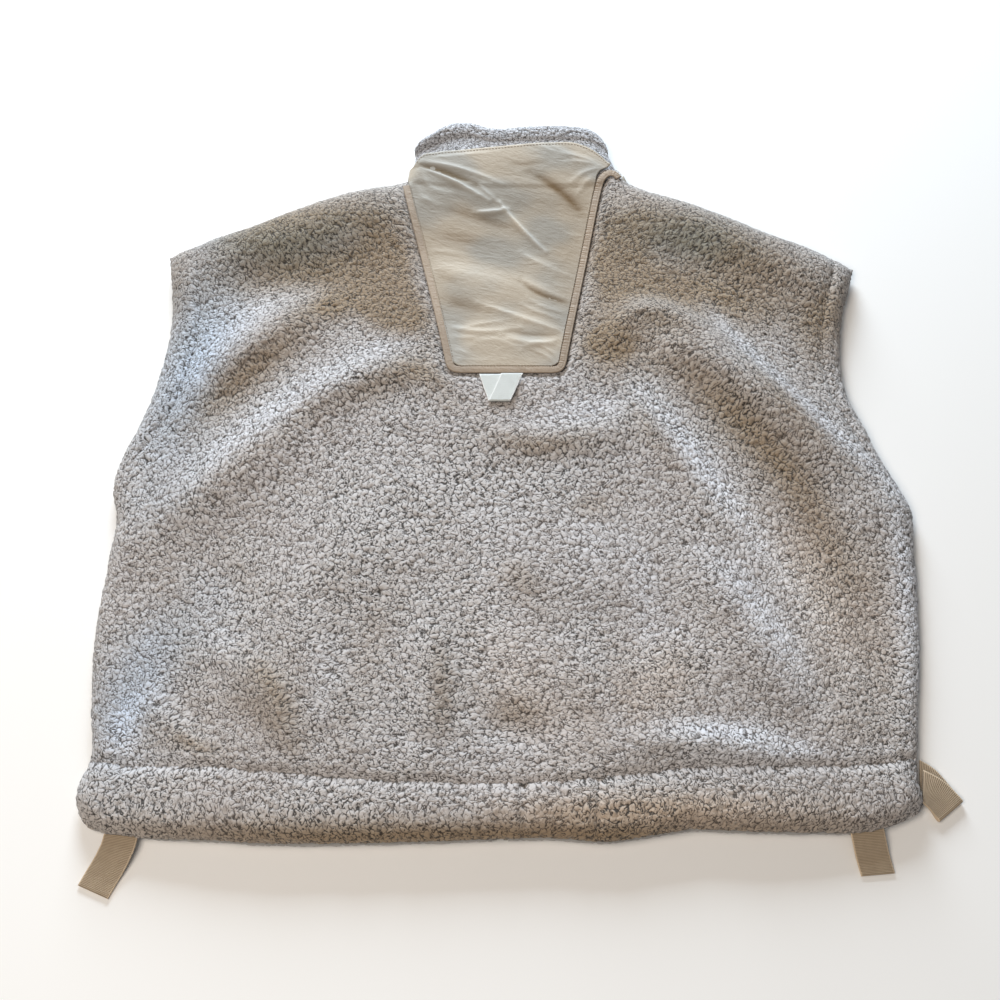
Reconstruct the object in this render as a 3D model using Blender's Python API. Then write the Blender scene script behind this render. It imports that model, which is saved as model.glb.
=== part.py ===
"""A sherpa fleece vest laid flat on its front, its back up and its hem towards -Y.

Lengths are in millimetres until a mesh is made. X runs across the garment and Y up it, towards the
collar. The plan is drawn about a point in the middle of the back and moved by CENTRE at the end, so that
the finished vest stands on the middle of its own footprint.
"""

from collections import namedtuple

import bmesh
import bpy
import numpy as np
from mathutils.bvhtree import BVHTree

MM = 0.001
CENTRE = (15.2, 26.7)

# Cloth and trim thicknesses
SHERPA = 7.0
COLLAR_SHERPA = 6.0
NYLON = 1.0
WEBBING, WEBBING_WIDTH = 1.5, 26.0
RIBBON, RIBBON_WIDTH = 0.9, 19.0
GAP = 0.3

# How the two layers lie on each other
MIDDLE = 8.0
HOLLOW = 2.4
HOLLOW_RISE = 4.6
YOKE_CALM = 0.8
ROLL = 17.0
FRONT_ROLL = 12.0
EDGE_START = 0.02
NECK_TOP = 18.8

# Seams press the pile down
GROOVE_DEPTH, BAND_GROOVE_DEPTH, GROOVE_WIDTH = 2.8, 1.6, 6.0
HEM_PUFF = 2.4

# The yoke: its binding's centre line, and the binding
YOKE_TOP, YOKE_FOOT = 318.0, 117.0
BINDING_WIDTH, BINDING = 7.0, 2.2
CORNER = 7.0

# The collar's ring, at the neck and at its top edge
COLLAR_LEFT, COLLAR_RIGHT = (-85.0, -78.0), (118.0, 97.0)
FRONT_NECK_DROP, FRONT_TOP_DROP = 20.0, 26.0

# The zip down the centre front
ZIP_FOOT_X, ZIP_HEAD_X = 0.0, 13.0
ZIP_WIDTH, CHAIN_WIDTH = 12.0, 4.6

Station = namedtuple("Station", "along value")
Fold = namedtuple("Fold", "x0 y0 x1 y1 x2 y2 width height")

# The garment's left and right edges: Y, X. The armhole runs up from the underarm to the shoulder tip.
LEFT_EDGE = [
    Station(-300, -290), Station(-284, -312), Station(-262, -326), Station(-244, -324), Station(-234, -320),
    Station(-190, -323), Station(-127, -327.5), Station(-60, -324), Station(-22, -322), Station(8, -328),
    Station(37, -323), Station(66, -313), Station(96, -304), Station(127, -298.5), Station(158, -295),
    Station(190, -295.5), Station(222, -300), Station(243, -303),
]
RIGHT_EDGE = [
    Station(-300, 288), Station(-284, 308), Station(-262, 325), Station(-244, 323), Station(-234, 324),
    Station(-190, 330), Station(-127, 339), Station(-88, 342), Station(-47, 344), Station(-14, 346),
    Station(12, 336), Station(37, 325), Station(66, 315), Station(96, 304), Station(122, 300.5),
    Station(150, 303), Station(178, 308), Station(206, 316), Station(230, 323),
]
UNDERARM_LEFT, UNDERARM_RIGHT = 4.0, -6.0
TIP_LEFT, TIP_RIGHT = (-303.0, 243.0), (323.0, 230.0)

# The shoulder seams and the back neckline: X, Y
SHOULDER = [
    Station(-303, 243), Station(-266, 262), Station(-230, 276), Station(-194, 293), Station(-158, 309),
    Station(-121, 321), Station(-89, 326), Station(-60, 323), Station(12, 321), Station(84, 323),
    Station(113, 327), Station(140, 317), Station(176, 303), Station(212, 286), Station(248, 268),
    Station(283, 253), Station(304, 241), Station(323, 230),
]
NECK_LEFT, NECK_RIGHT = -90.0, 116.0
# The seam between the body and the hem casing, and the casing's lower edge: X, Y
HEM_SEAM = [
    Station(-320, -231), Station(-284, -236), Station(-230, -237), Station(-153, -244), Station(-76, -249),
    Station(38, -249), Station(76, -246), Station(107, -243), Station(153, -238), Station(230, -237),
    Station(291, -234), Station(324, -229),
]
HEM_FOOT = [
    Station(-322, -277), Station(-309, -284), Station(-283, -289), Station(-221, -293), Station(-190, -295),
    Station(-84, -295), Station(-8, -292.5), Station(38, -291.5), Station(84, -294), Station(115, -289.5),
    Station(145, -285), Station(176, -286), Station(237, -287), Station(283, -285), Station(299, -281),
    Station(313, -275), Station(324, -267),
]
# The width of the armhole bands above the underarm: distance up, width
BAND_LEFT = [Station(0, 2.5), Station(25, 12), Station(60, 22), Station(110, 25), Station(240, 26)]
BAND_RIGHT = [Station(0, 2.5), Station(25, 8), Station(60, 13), Station(110, 14), Station(160, 17),
              Station(240, 19)]
# The yoke binding's centre line, up its left and right sides: Y, X
YOKE_LEFT = [Station(110, -41.5), Station(118, -43), Station(220, -64.5), Station(318, -87.5), Station(330, -90)]
YOKE_RIGHT = [Station(110, 52), Station(118, 53.5), Station(220, 73), Station(290, 86.5), Station(312, 91),
              Station(324, 95), Station(332, 101)]
# The binding's last run, over the right end of the neck seam: X, Y
YOKE_ARCH = [Station(91, 312), Station(94.5, 324), Station(101, 331.5), Station(108, 331), Station(113, 325)]
# The nylon's right edge, inside the binding and on up the collar: Y, X
NYLON_RIGHT = [Station(110, 48), Station(118, 49.3), Station(220, 68.8), Station(290, 82.3), Station(312, 86.5),
               Station(324, 89.5), Station(331, 93), Station(335, 97.5), Station(338.5, 106), Station(344, 110)]
# The nylon's top edge and the rolled lining's top edge: X, Y
NYLON_TOP = [
    Station(-82, 340), Station(-76, 350), Station(-60, 356), Station(-38, 358.5), Station(0, 363),
    Station(47, 367.5), Station(74, 366), Station(91, 357), Station(103, 346), Station(113, 336),
]
LINING_TOP = [
    Station(-87, 354), Station(-81, 368), Station(-66, 381), Station(-48, 392), Station(-29, 393),
    Station(-9, 387), Station(29, 389), Station(67, 390), Station(86, 387), Station(99, 376),
    Station(108, 361), Station(117, 342),
]
# How much thicker the lining's roll is, round the collar: degrees from the right fold, times
LINING_ROLL = [Station(-90, 0), Station(-24, 0), Station(8, 0.7), Station(60, 1.0), Station(110, 1.0),
               Station(140, 1.7), Station(162, 1.4), Station(176, 0.7), Station(204, 0), Station(270, 0)]

# The largest folds and the thick shoulder rolls, each a crest through three points of the plan
FOLDS = [
    Fold(-262, 99, -210, 146, -157, 183, 22, 8),
    Fold(-297, -39, -230, 13, -172, 78, 31, 10),
    Fold(-175, 70, -118, 111, -64, 108, 19, 6),
    Fold(-188, -117, -132, -69, -93, -9, 38, 5),
    Fold(-30, 55, 54, 48, 123, 68, 17, 4.5),
    Fold(112, 73, 153, 21, 173, -46, 20, 4),
    Fold(172, -40, 200, -127, 263, -190, 33, 7.5),
    Fold(130, 158, 222, 96, 310, -10, 25, 12),
    Fold(100, 150, 134, 178, 192, 147, 12, 6),
    Fold(-220, -147, -180, -183, -168, -231, 15, 8),
    Fold(-167, -98, -150, -155, -118, -216, 22, 7),
    Fold(-59, -108, -55, -163, -55, -224, 16, 7),
    Fold(89, -224, 150, -218, 229, -229, 12, 4.5),
    Fold(-287, 217, -165, 274, -88, 298, 38, 12),
    Fold(104, 306, 210, 255, 310, 198, 34, 12),
    Fold(40, -88, 94, -68, 149, -114, 38, 2.5),
    Fold(55, -143, 70, -168, 82, -200, 16, 5),
    Fold(-284, -150, -268, -196, -240, -226, 14, 4),
]

# Straps: the run of each one's middle in plan, its height over what it lies on, and the heading of its
# width in degrees. A loop's run goes out, turns over at its end and comes back on top.
Run = namedtuple("Run", "x y z turn")
HANGER = [Run(-8.5, 111, 1.2, 0), Run(-4.5, 97, 1.2, 0), Run(-1, 86, 1.2, 0), Run(-0.6, 84.4, 1.4, 0),
          Run(-0.5, 84, 2.0, 0), Run(-0.4, 84.4, 2.6, 0), Run(0.6, 86, 2.8, 0), Run(5.5, 98, 2.8, 0),
          Run(10.5, 111, 2.8, 0)]
TAB_LEFT = [Run(-286, -268, 8.0, -4), Run(-289, -292, 8.0, -8), Run(-292, -301, 6.4, -13),
            Run(-296, -309, 3.6, -19), Run(-301, -318, 1.9, -22), Run(-306.5, -329, 1.1, -23)]
TAB_RIGHT = [Run(278, -264, 8.0, 3), Run(280, -287, 8.0, 3), Run(281, -294, 6.8, 4),
             Run(282.5, -301, 4.0, 5), Run(284, -307, 2.2, 5), Run(286, -316, 1.1, 5)]
SIDE_LOOP = [Run(326.1, -241, 4.4, 84), Run(333.5, -247, 2.9, 66), Run(341, -258, 1.2, 46),
             Run(344.6, -264.6, 1.1, 40), Run(346.4, -267.4, 1.7, 38), Run(346.8, -268, 2.9, 38),
             Run(346.4, -267.4, 4.1, 38), Run(344, -264.6, 4.7, 40), Run(336, -256, 6.6, 58),
             Run(326.5, -250, 8.2, 82)]
ZIP_PULL = [Run(13, 340.4, 3.4, 0), Run(13, 348, 3.0, 0), Run(13.2, 356, 2.4, 0)]
# The slider, from the chain's head up: place, half width and half depth
ZIP_HEAD = 328.0
TAPE_HEIGHTS, CHAIN_HEIGHTS = (2.6, 3.6), (1.8, 4.4)
SLIDER_MIDDLE = 3.2
SLIDER = [(0.3, 3.2, 1.8), (2.5, 4.4, 2.4), (8, 4.4, 2.4), (12, 2.6, 1.6)]

COLOURS = {
    "sherpa": (0.40, 0.37, 0.36),
    "nylon": (0.45, 0.40, 0.33),
    "webbing": (0.27, 0.23, 0.17),
    "ribbon": (0.72, 0.74, 0.74),
    "zip": (0.36, 0.34, 0.31),
    "metal": (0.55, 0.55, 0.54),
}


# ---------------------------------------------------------------- curves and small formulas


def smooth_through(rows):
    """A smooth function through rows of (place, value), level past its two ends."""
    knots = np.array(rows, float)
    place, value = knots[:, 0], knots[:, 1]
    slope = np.gradient(value, place)

    def at(s):
        s = np.clip(s, place[0], place[-1])
        i = np.clip(np.searchsorted(place, s, side="right") - 1, 0, len(place) - 2)
        run = place[i + 1] - place[i]
        q = (s - place[i]) / run
        start = value[i] * (1 + 2 * q) * (1 - q) ** 2 + slope[i] * run * q * (1 - q) ** 2
        stop = value[i + 1] * q * q * (3 - 2 * q) - slope[i + 1] * run * q * q * (1 - q)
        return start + stop

    return at


def eased(low, high, s):
    """0 below low and 1 above high, with no corner between."""
    q = np.clip((s - low) / (high - low), 0, 1)
    return q * q * (3 - 2 * q)


def mixed(first, second, share):
    return first + (second - first) * share


def rolled(distance, radius):
    """0 at an edge and 1 from a radius in, along a quarter of an ellipse."""
    near = np.clip(distance / radius + EDGE_START, EDGE_START, 1)
    start = np.sqrt(1 - (1 - EDGE_START) ** 2)
    return (np.sqrt(1 - (1 - near) ** 2) - start) / (1 - start)


left_edge, right_edge = smooth_through(LEFT_EDGE), smooth_through(RIGHT_EDGE)
shoulder, hem_seam, hem_foot = map(smooth_through, (SHOULDER, HEM_SEAM, HEM_FOOT))
yoke_left, yoke_right = smooth_through(YOKE_LEFT), smooth_through(YOKE_RIGHT)
nylon_right = smooth_through(NYLON_RIGHT)
nylon_top, lining_top = smooth_through(NYLON_TOP), smooth_through(LINING_TOP)
band_left_width, band_right_width = smooth_through(BAND_LEFT), smooth_through(BAND_RIGHT)
lining_roll = smooth_through(LINING_ROLL)


def band_seam_left(y):
    """The armhole band's seam: the body's left edge above the underarm."""
    return left_edge(y) + band_left_width(y - UNDERARM_LEFT) * (y > UNDERARM_LEFT)


def band_seam_right(y):
    return right_edge(y) - band_right_width(y - UNDERARM_RIGHT) * (y > UNDERARM_RIGHT)


def zip_middle(y):
    return mixed(ZIP_FOOT_X, ZIP_HEAD_X, (y + 295) / 640)


def neck_share(x):
    """1 along the neckline and 0 along the shoulders."""
    return eased(NECK_LEFT - 14, NECK_LEFT + 8, x) * (1 - eased(NECK_RIGHT - 8, NECK_RIGHT + 14, x))


def neck_scoop(x):
    """How far down the front neckline hangs, from 0 at the collar's folds to 1 in the middle."""
    middle, half = (COLLAR_LEFT[0] + COLLAR_RIGHT[0]) / 2, (COLLAR_RIGHT[0] - COLLAR_LEFT[0]) / 2
    return 0.5 + 0.5 * np.cos(np.pi * np.clip((x - middle) / half, -1, 1))


def front_neck(x):
    return shoulder(x) - FRONT_NECK_DROP * neck_scoop(x)


# ---------------------------------------------------------------- the lie of the cloth


def distance_to_crest(fold, x, y):
    """The distance from points of the plan to a fold's crest, and how far along it they are, 0 to 1."""
    ends = np.array([[fold.x0, fold.y0], [fold.x2, fold.y2]])
    pull = 2 * np.array([fold.x1, fold.y1]) - ends.mean(axis=0)
    steps = np.linspace(0, 1, 13)[:, None]
    crest = (1 - steps) ** 2 * ends[0] + 2 * steps * (1 - steps) * pull + steps**2 * ends[1]
    best = np.full(np.shape(x), np.inf)
    along = np.zeros(np.shape(x))
    for i in range(len(crest) - 1):
        run = crest[i + 1] - crest[i]
        q = ((x - crest[i][0]) * run[0] + (y - crest[i][1]) * run[1]) / (run @ run)
        q = np.clip(q, 0, 1)
        away = np.hypot(x - crest[i][0] - q * run[0], y - crest[i][1] - q * run[1])
        along = np.where(away < best, (i + q) / (len(crest) - 1), along)
        best = np.minimum(away, best)
    return best, along


def yoke_cover(x, y):
    """1 under the middle of the yoke and 0 clear of it."""
    inside = np.minimum(np.minimum(x - yoke_left(y), yoke_right(y) - x), y - YOKE_FOOT)
    return eased(-12, 22, inside)


def fold_heights(x, y):
    total = np.zeros(np.shape(x))
    for fold in FOLDS:
        away, along = distance_to_crest(fold, x, y)
        fade = np.sin(np.pi * np.clip(along, 0.06, 0.94)) ** 0.6
        total += fold.height * fade * np.exp(-((away / fold.width) ** 2))
    return total * (1 - YOKE_CALM * yoke_cover(x, y))


def side_and_top(x, y):
    """How far the rolled side edges and shoulders have risen: 0 at an edge, 1 inside."""
    side = rolled(np.minimum(x - left_edge(y), right_edge(y) - x), ROLL)
    top = rolled(0.92 * (shoulder(x) - y), ROLL)
    return side * mixed(top, 1, neck_share(x))


def back_loft(x, y):
    """The height of the back's pile before its seams press it."""
    rise = HOLLOW_RISE * eased(300, 190, np.abs(x)) * eased(250, 150, y)
    loft = SHERPA + HOLLOW + SHERPA + rise + fold_heights(x, y)
    at_neck = neck_share(x) * eased(282, 316, y)
    loft = mixed(loft, NECK_TOP, at_neck)
    return MIDDLE + GAP / 2 + (loft - MIDDLE) * side_and_top(x, y)


def back_face(x, y):
    """The back's outer face: its loft, less what the seams press."""
    seam = np.abs(y - hem_seam(x))
    press = GROOVE_DEPTH * np.exp(-((seam / GROOVE_WIDTH) ** 2))
    bands = np.minimum(np.abs(x - band_seam_left(y)), np.abs(x - band_seam_right(y)))
    above = eased(UNDERARM_LEFT + 10, UNDERARM_LEFT + 50, y)
    press = np.maximum(press, BAND_GROOVE_DEPTH * above * np.exp(-((bands / GROOVE_WIDTH) ** 2)))
    return back_loft(x, y) - press * side_and_top(x, y)


def hem_back_face(x, y):
    """The back casing's outer face: a puffed roll, rounded in to the hem."""
    across = np.clip((y - hem_foot(x)) / (hem_seam(x) - hem_foot(x)), 0, 1)
    puffed = back_face(x, y) + HEM_PUFF * np.sin(np.pi * across) ** 0.7 * side_and_top(x, y)
    floor = np.maximum(back_loft(x, y) - SHERPA, MIDDLE) + 1.0
    return mixed(floor, puffed, rolled(y - hem_foot(x), 15))


def front_face(x, y):
    """The front's outer face, flat on the ground and curling up to meet the back."""
    side = rolled(np.minimum(x - left_edge(y), right_edge(y) - x), FRONT_ROLL)
    top = rolled(0.92 * (shoulder(x) - y), FRONT_ROLL)
    return (MIDDLE - GAP / 2) * (1 - side * mixed(top, 1, neck_share(x)))


def hem_front_face(x, y):
    flat = front_face(x, y)
    return mixed(np.maximum(flat, SHERPA - 1.2), flat, rolled(y - hem_foot(x), 9))


def cloth_thickness(x, y):
    """The pile is thinner where it turns round an edge."""
    side = rolled(np.minimum(x - left_edge(y), right_edge(y) - x), 22)
    top = rolled(0.92 * (shoulder(x) - y), 22)
    share = 0.5 + 0.5 * side * mixed(top, 1, neck_share(x))
    return mixed(SHERPA * share, COLLAR_SHERPA, neck_share(x) * eased(282, 316, y))


def facing(face, x, y, step=0.5):
    """The unit normals, facing up, of a face given as heights."""
    dx = (face(x + step, y) - face(x - step, y)) / (2 * step)
    dy = (face(x, y + step) - face(x, y - step)) / (2 * step)
    normal = np.stack([-dx, -dy, np.ones(np.shape(x))], axis=-1)
    return normal / np.linalg.norm(normal, axis=-1, keepdims=True)


def on(face, x, y, lift=0.0):
    return np.stack([x, y, face(x, y) + lift], axis=-1)


# ---------------------------------------------------------------- meshes


def material(name):
    made = bpy.data.materials.get(name) or bpy.data.materials.new(name)
    made.use_nodes = True
    shader = made.node_tree.nodes["Principled BSDF"]
    shader.inputs["Base Color"].default_value = (*COLOURS[name], 1)
    shader.inputs["Roughness"].default_value = 0.35 if name == "metal" else 0.85
    shader.inputs["Metallic"].default_value = 1.0 if name == "metal" else 0.0
    return made


def solid(name, points, faces, finish):
    """One closed body from points in the plan's millimetres."""
    points = np.asarray(points, float).reshape(-1, 3) - (*CENTRE, 0.0)
    mesh = bpy.data.meshes.new(name)
    mesh.from_pydata((points * MM).tolist(), [], faces)
    shape = bmesh.new()
    shape.from_mesh(mesh)
    if shape.calc_volume(signed=True) < 0:
        bmesh.ops.reverse_faces(shape, faces=shape.faces)
    shape.to_mesh(mesh)
    shape.free()
    mesh.materials.append(material(finish))
    made = bpy.data.objects.new(name, mesh)
    bpy.context.scene.collection.objects.link(made)
    mesh.shade_smooth()
    mesh.set_sharp_from_angle(angle=0.7)
    return made


def shell(name, upper, lower, finish):
    """A wall between an upper and a lower grid of points, closed round its rim."""
    rows, columns = upper.shape[:2]
    under = rows * columns

    def index(r, c, layer):
        return layer * under + r * columns + c

    faces = []
    for r in range(rows - 1):
        for c in range(columns - 1):
            top = [index(r, c, 0), index(r, c + 1, 0), index(r + 1, c + 1, 0), index(r + 1, c, 0)]
            faces.append(top)
            faces.append([i + under for i in reversed(top)])
    rim = [(0, c) for c in range(columns)]
    rim += [(r, columns - 1) for r in range(1, rows)]
    rim += [(rows - 1, c) for c in range(columns - 2, -1, -1)]
    rim += [(r, 0) for r in range(rows - 2, 0, -1)]
    for here, there in zip(rim, rim[1:] + rim[:1]):
        faces.append([index(*here, 1), index(*there, 1), index(*there, 0), index(*here, 0)])
    return solid(name, np.concatenate([upper.reshape(-1, 3), lower.reshape(-1, 3)]), faces, finish)


def loft(name, sections, finish):
    """A solid through closed sections, each turning the same way, with flat ends."""
    count, around = sections.shape[:2]
    faces = []
    for i in range(count - 1):
        for j in range(around):
            k = (j + 1) % around
            faces.append([i * around + j, i * around + k, (i + 1) * around + k, (i + 1) * around + j])
    faces.append(list(range(around - 1, -1, -1)))
    faces.append([(count - 1) * around + j for j in range(around)])
    return solid(name, sections, faces, finish)


# ---------------------------------------------------------------- the sherpa body

# Shares of a panel's width and height. They stand close where the edges roll and the seams press.
EDGE_SHARES = [0, 0.007, 0.017, 0.033, 0.062]
BACK_ACROSS = EDGE_SHARES + list(np.linspace(0.108, 0.892, 17)) + [1 - a for a in reversed(EDGE_SHARES)]
BACK_UP = [0, 0.009, 0.024] + list(np.linspace(0.06, 0.93, 18)) + [0.965, 0.983, 0.994, 1]
FRONT_ACROSS = [0, 0.012, 0.03, 0.07, 0.35, 0.66, 0.71, 0.76, 0.81, 0.86, 0.91, 0.96, 1]
FRONT_UP = [0, 0.03, 0.13, 0.26, 0.39, 0.46, 0.52, 0.58, 0.67, 0.8, 0.93, 0.97, 0.99, 1]
BAND_ACROSS = [0, 0.1, 0.3, 0.65, 1]
CASING_UP = [0, 0.07, 0.18, 0.38, 0.62, 0.86, 1]
FRONT_CASING_UP = [0, 0.07, 0.2, 0.6, 1]

BODY_SPAN = (TIP_LEFT[0] + BAND_LEFT[-1].value, TIP_RIGHT[0] - BAND_RIGHT[-1].value)


def left_of_body(y):
    return band_seam_left(np.minimum(y, TIP_LEFT[1])) + GAP / 2 * (y > UNDERARM_LEFT)


def right_of_body(y):
    return band_seam_right(np.minimum(y, TIP_RIGHT[1])) - GAP / 2 * (y > UNDERARM_RIGHT)


def left_of_zip(y):
    return zip_middle(y) - ZIP_WIDTH / 2 - GAP


def right_of_zip(y):
    return zip_middle(y) + ZIP_WIDTH / 2 + GAP


def above_hem_seam(x):
    return hem_seam(x) + 0.8 * GAP


def below_hem_seam(x):
    return hem_seam(x) - 0.8 * GAP


def halves(across):
    """The two fronts: name, shares of the width, nominal span, left edge and right edge."""
    turned = [1 - a for a in reversed(across)]
    zip_left, zip_right = left_of_zip(TIP_LEFT[1]), right_of_zip(TIP_LEFT[1])
    return (
        ("left", across, (BODY_SPAN[0], zip_left), left_of_body, left_of_zip),
        ("right", turned, (zip_right, BODY_SPAN[1]), right_of_zip, right_of_body),
    )


def end_row(across, span, left, right, height):
    """The Y of a panel's foot or head, with its points shared out between the panel's sides there."""
    x = mixed(*span, np.array(across))
    for _ in range(4):
        y = height(x)
        x = mixed(left(y), right(y), np.array(across))
    return y


def panel_plan(across, up, span, left, right, foot, head):
    """The plan of a panel: each column shares out its height, and each point its row's width."""
    low = end_row(across, span, left, right, foot)
    high = end_row(across, span, left, right, head)
    a, b = np.meshgrid(across, up)
    y = mixed(low, high, b)
    return mixed(left(y), right(y), a), y


def back_inner(x, y):
    inner = on(back_loft, x, y) - cloth_thickness(x, y)[..., None] * facing(back_loft, x, y)
    inner[..., 2] = np.maximum(inner[..., 2], MIDDLE + GAP / 2)
    return inner


def front_inner(x, y):
    inner = on(front_face, x, y) + cloth_thickness(x, y)[..., None] * facing(front_face, x, y)
    inner[..., 2] = np.minimum(inner[..., 2], MIDDLE - GAP / 2)
    return inner


def finish_rim(outer, inner):
    """Ends the inner face level with the outer one where the cloth turns, and right under it at a seam."""
    x, y = outer[..., 0], outer[..., 1]
    rim = np.zeros(x.shape, bool)
    rim[[0, -1]] = True
    rim[:, [0, -1]] = True
    side = np.minimum(x - left_edge(y), right_edge(y) - x)
    turned = rim & (np.minimum(side, mixed(shoulder(x) - y, 99, neck_share(x))) < GAP)
    inner[turned, 2] = outer[turned, 2]
    inner[rim & ~turned, :2] = outer[rim & ~turned, :2]
    for row in (0, -1):
        if not turned[row, 1:-1].any():
            inner[row, :, 1] = y[row]


def back_body():
    x, y = panel_plan(
        BACK_ACROSS, BACK_UP, BODY_SPAN, left_of_body, right_of_body, above_hem_seam, shoulder
    )
    outer, inner = on(back_face, x, y), back_inner(x, y)
    finish_rim(outer, inner)
    return shell("back_body", outer, inner, "sherpa")


def front_bodies():
    for side, across, span, left, right in halves(FRONT_ACROSS):
        x, y = panel_plan(across, FRONT_UP, span, left, right, above_hem_seam, front_neck)
        outer, inner = on(front_face, x, y), front_inner(x, y)
        finish_rim(outer, inner)
        shell("front_" + side, inner, outer, "sherpa")


def armhole_band(name, on_left, up, face, inner_face):
    """A turned band along an armhole, from the underarm to the shoulder tip, on the body's own rows."""
    edge, seam = (left_edge, left_of_body) if on_left else (right_edge, right_of_body)
    underarm, tip, end = (UNDERARM_LEFT, TIP_LEFT[1], 0) if on_left else (UNDERARM_RIGHT, TIP_RIGHT[1], 1)
    low, high = (
        end_row([0, 1], BODY_SPAN, left_of_body, right_of_body, row) for row in (above_hem_seam, shoulder)
    )
    rows = mixed(low[end], high[end], np.array(up))
    rows = rows[rows > underarm + 2]
    outward = mixed(rows[0], tip, (rows - rows[0]) / (rows[-1] - rows[0]))
    a, seam_y = np.meshgrid(BAND_ACROSS, rows)
    edge_y = np.meshgrid(BAND_ACROSS, outward)[1]
    y = mixed(edge_y, seam_y, a)
    inward = GAP if on_left else -GAP
    x = mixed(edge(edge_y), seam(seam_y) - inward, a)
    outer, inner = on(face, x, y), inner_face(x, y)
    finish_rim(outer, inner)
    room = x[:, -1:] - x
    shift = np.minimum(np.abs(inner[..., 0] - x), 0.6 * np.abs(room))
    inner[..., 0] = x + shift * np.sign(room)
    return shell(name, outer, inner, "sherpa")


def hem_casings():
    x, y = panel_plan(
        BACK_ACROSS, CASING_UP, BODY_SPAN, left_of_body, right_of_body, hem_foot, below_hem_seam
    )
    outer, inner = on(hem_back_face, x, y), back_inner(x, y)
    finish_rim(outer, inner)
    shell("hem_back", outer, inner, "sherpa")
    for side, across, span, left, right in halves(FRONT_ACROSS):
        x, y = panel_plan(across, FRONT_CASING_UP, span, left, right, hem_foot, below_hem_seam)
        outer, inner = on(hem_front_face, x, y), front_inner(x, y)
        finish_rim(outer, inner)
        shell("hem_front_" + side, inner, outer, "sherpa")


# ---------------------------------------------------------------- the collar and the yoke

RING_LOW = NYLON + GAP
RING_MIDDLE = (NECK_TOP + RING_LOW) / 2
RING_HALF = (NECK_TOP - RING_LOW) / 2
COLLAR_FOOT, COLLAR_REACH = 327.0, 58.0
CLEAR = 2.2
NECK_GAP = 0.9
FACET_REACH = [(0, 0), *[(r * c, r * s) for r in (4, 10) for c, s in ((1, 0), (0.7, 0.7), (0, 1), (-0.7, 0.7),
                                                                   (-1, 0), (-0.7, -0.7), (0, -1), (0.7, -0.7))]]
# The lining's wall from the neck seam up and over its roll, and back down inside: share of the height,
# reach from the middle of the wall, and reach again where the roll is thickest.
Wall = namedtuple("Wall", "up plain roll")
LINING_WALL = [
    Wall(0, 3, 0), Wall(0.35, 3, 0), Wall(0.7, 3, 0), Wall(0.79, 3, 2.4), Wall(0.89, 3, 3.4),
    Wall(0.97, 2.4, 1.6), Wall(1, 0.8, 0), Wall(1, -0.9, 0), Wall(0.96, -2.4, 0), Wall(0.88, -3, 0),
    Wall(0.45, -3, 0), Wall(0, -3, 0),
]
# Stations round the lining, in degrees from the right fold, close together round the folds
LINING_TURN = [*np.linspace(-90, -28, 5), *np.linspace(-18, 18, 7), *np.linspace(30, 150, 11),
               *np.linspace(162, 198, 7), *np.linspace(208, 270, 5)]


def collar_left(y):
    return mixed(*COLLAR_LEFT, (y - COLLAR_FOOT) / COLLAR_REACH)


def collar_right(y):
    return mixed(*COLLAR_RIGHT, (y - COLLAR_FOOT) / COLLAR_REACH)


def collar_rise(x, y):
    return rolled(np.minimum(x - collar_left(y), collar_right(y) - x) + CLEAR, 12)


def collar_face(x, y):
    """What the nylon lies on above the neckline: the collar lining's back, rolling down at its folds."""
    return RING_MIDDLE + (NECK_TOP - RING_MIDDLE) * collar_rise(x, y)


def yoke_ground(x, y):
    """What the yoke and its binding lie on, from the body to the collar."""
    return mixed(back_face(x, y), collar_face(x, y), eased(0.5, 10, y - shoulder(x)))


def over_yoke(x, y):
    return yoke_ground(x, y) + GAP


def clear_of(panels, x, y):
    """Points just over the yoke's ground, and over the panels' own flat facets under and round them."""
    heights = over_yoke(x, y)
    for panel in panels:
        corners = [vertex.co / MM for vertex in panel.data.vertices]
        facets = BVHTree.FromPolygons(corners, [face.vertices for face in panel.data.polygons])
        for place in np.ndindex(heights.shape):
            for dx, dy in FACET_REACH:
                start = (x[place] - CENTRE[0] + dx, y[place] - CENTRE[1] + dy, 100)
                hit = facets.ray_cast(start, (0, 0, -1))[0]
                if hit:
                    heights[place] = max(heights[place], hit[2] + 2 * GAP)
    return np.stack([x, y, heights], axis=-1)


def collar_front_face(x, y):
    return (RING_MIDDLE - GAP / 2) * (1 - collar_rise(x, y))


def lining_point(turn, up, reach):
    """A point of the collar lining: round the collar, up it, and out from the middle of its wall."""
    low, high = np.array(COLLAR_LEFT), np.array(COLLAR_RIGHT)
    left, right = mixed(*low, up), mixed(*high, up)
    half = (right - left) / 2 - COLLAR_SHERPA / 2 + reach
    rise = np.sign(np.sin(turn)) * np.abs(np.sin(turn)) ** 0.5
    x = (left + right) / 2 + half * np.cos(turn)
    z = RING_MIDDLE + (RING_HALF - COLLAR_SHERPA / 2 + reach) * rise
    foot = mixed(shoulder(x), front_neck(x), rise < 0) + NECK_GAP
    head = lining_top(x) - FRONT_TOP_DROP * neck_scoop(x) * (rise < 0)
    return x, mixed(foot, head, up), z


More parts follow.
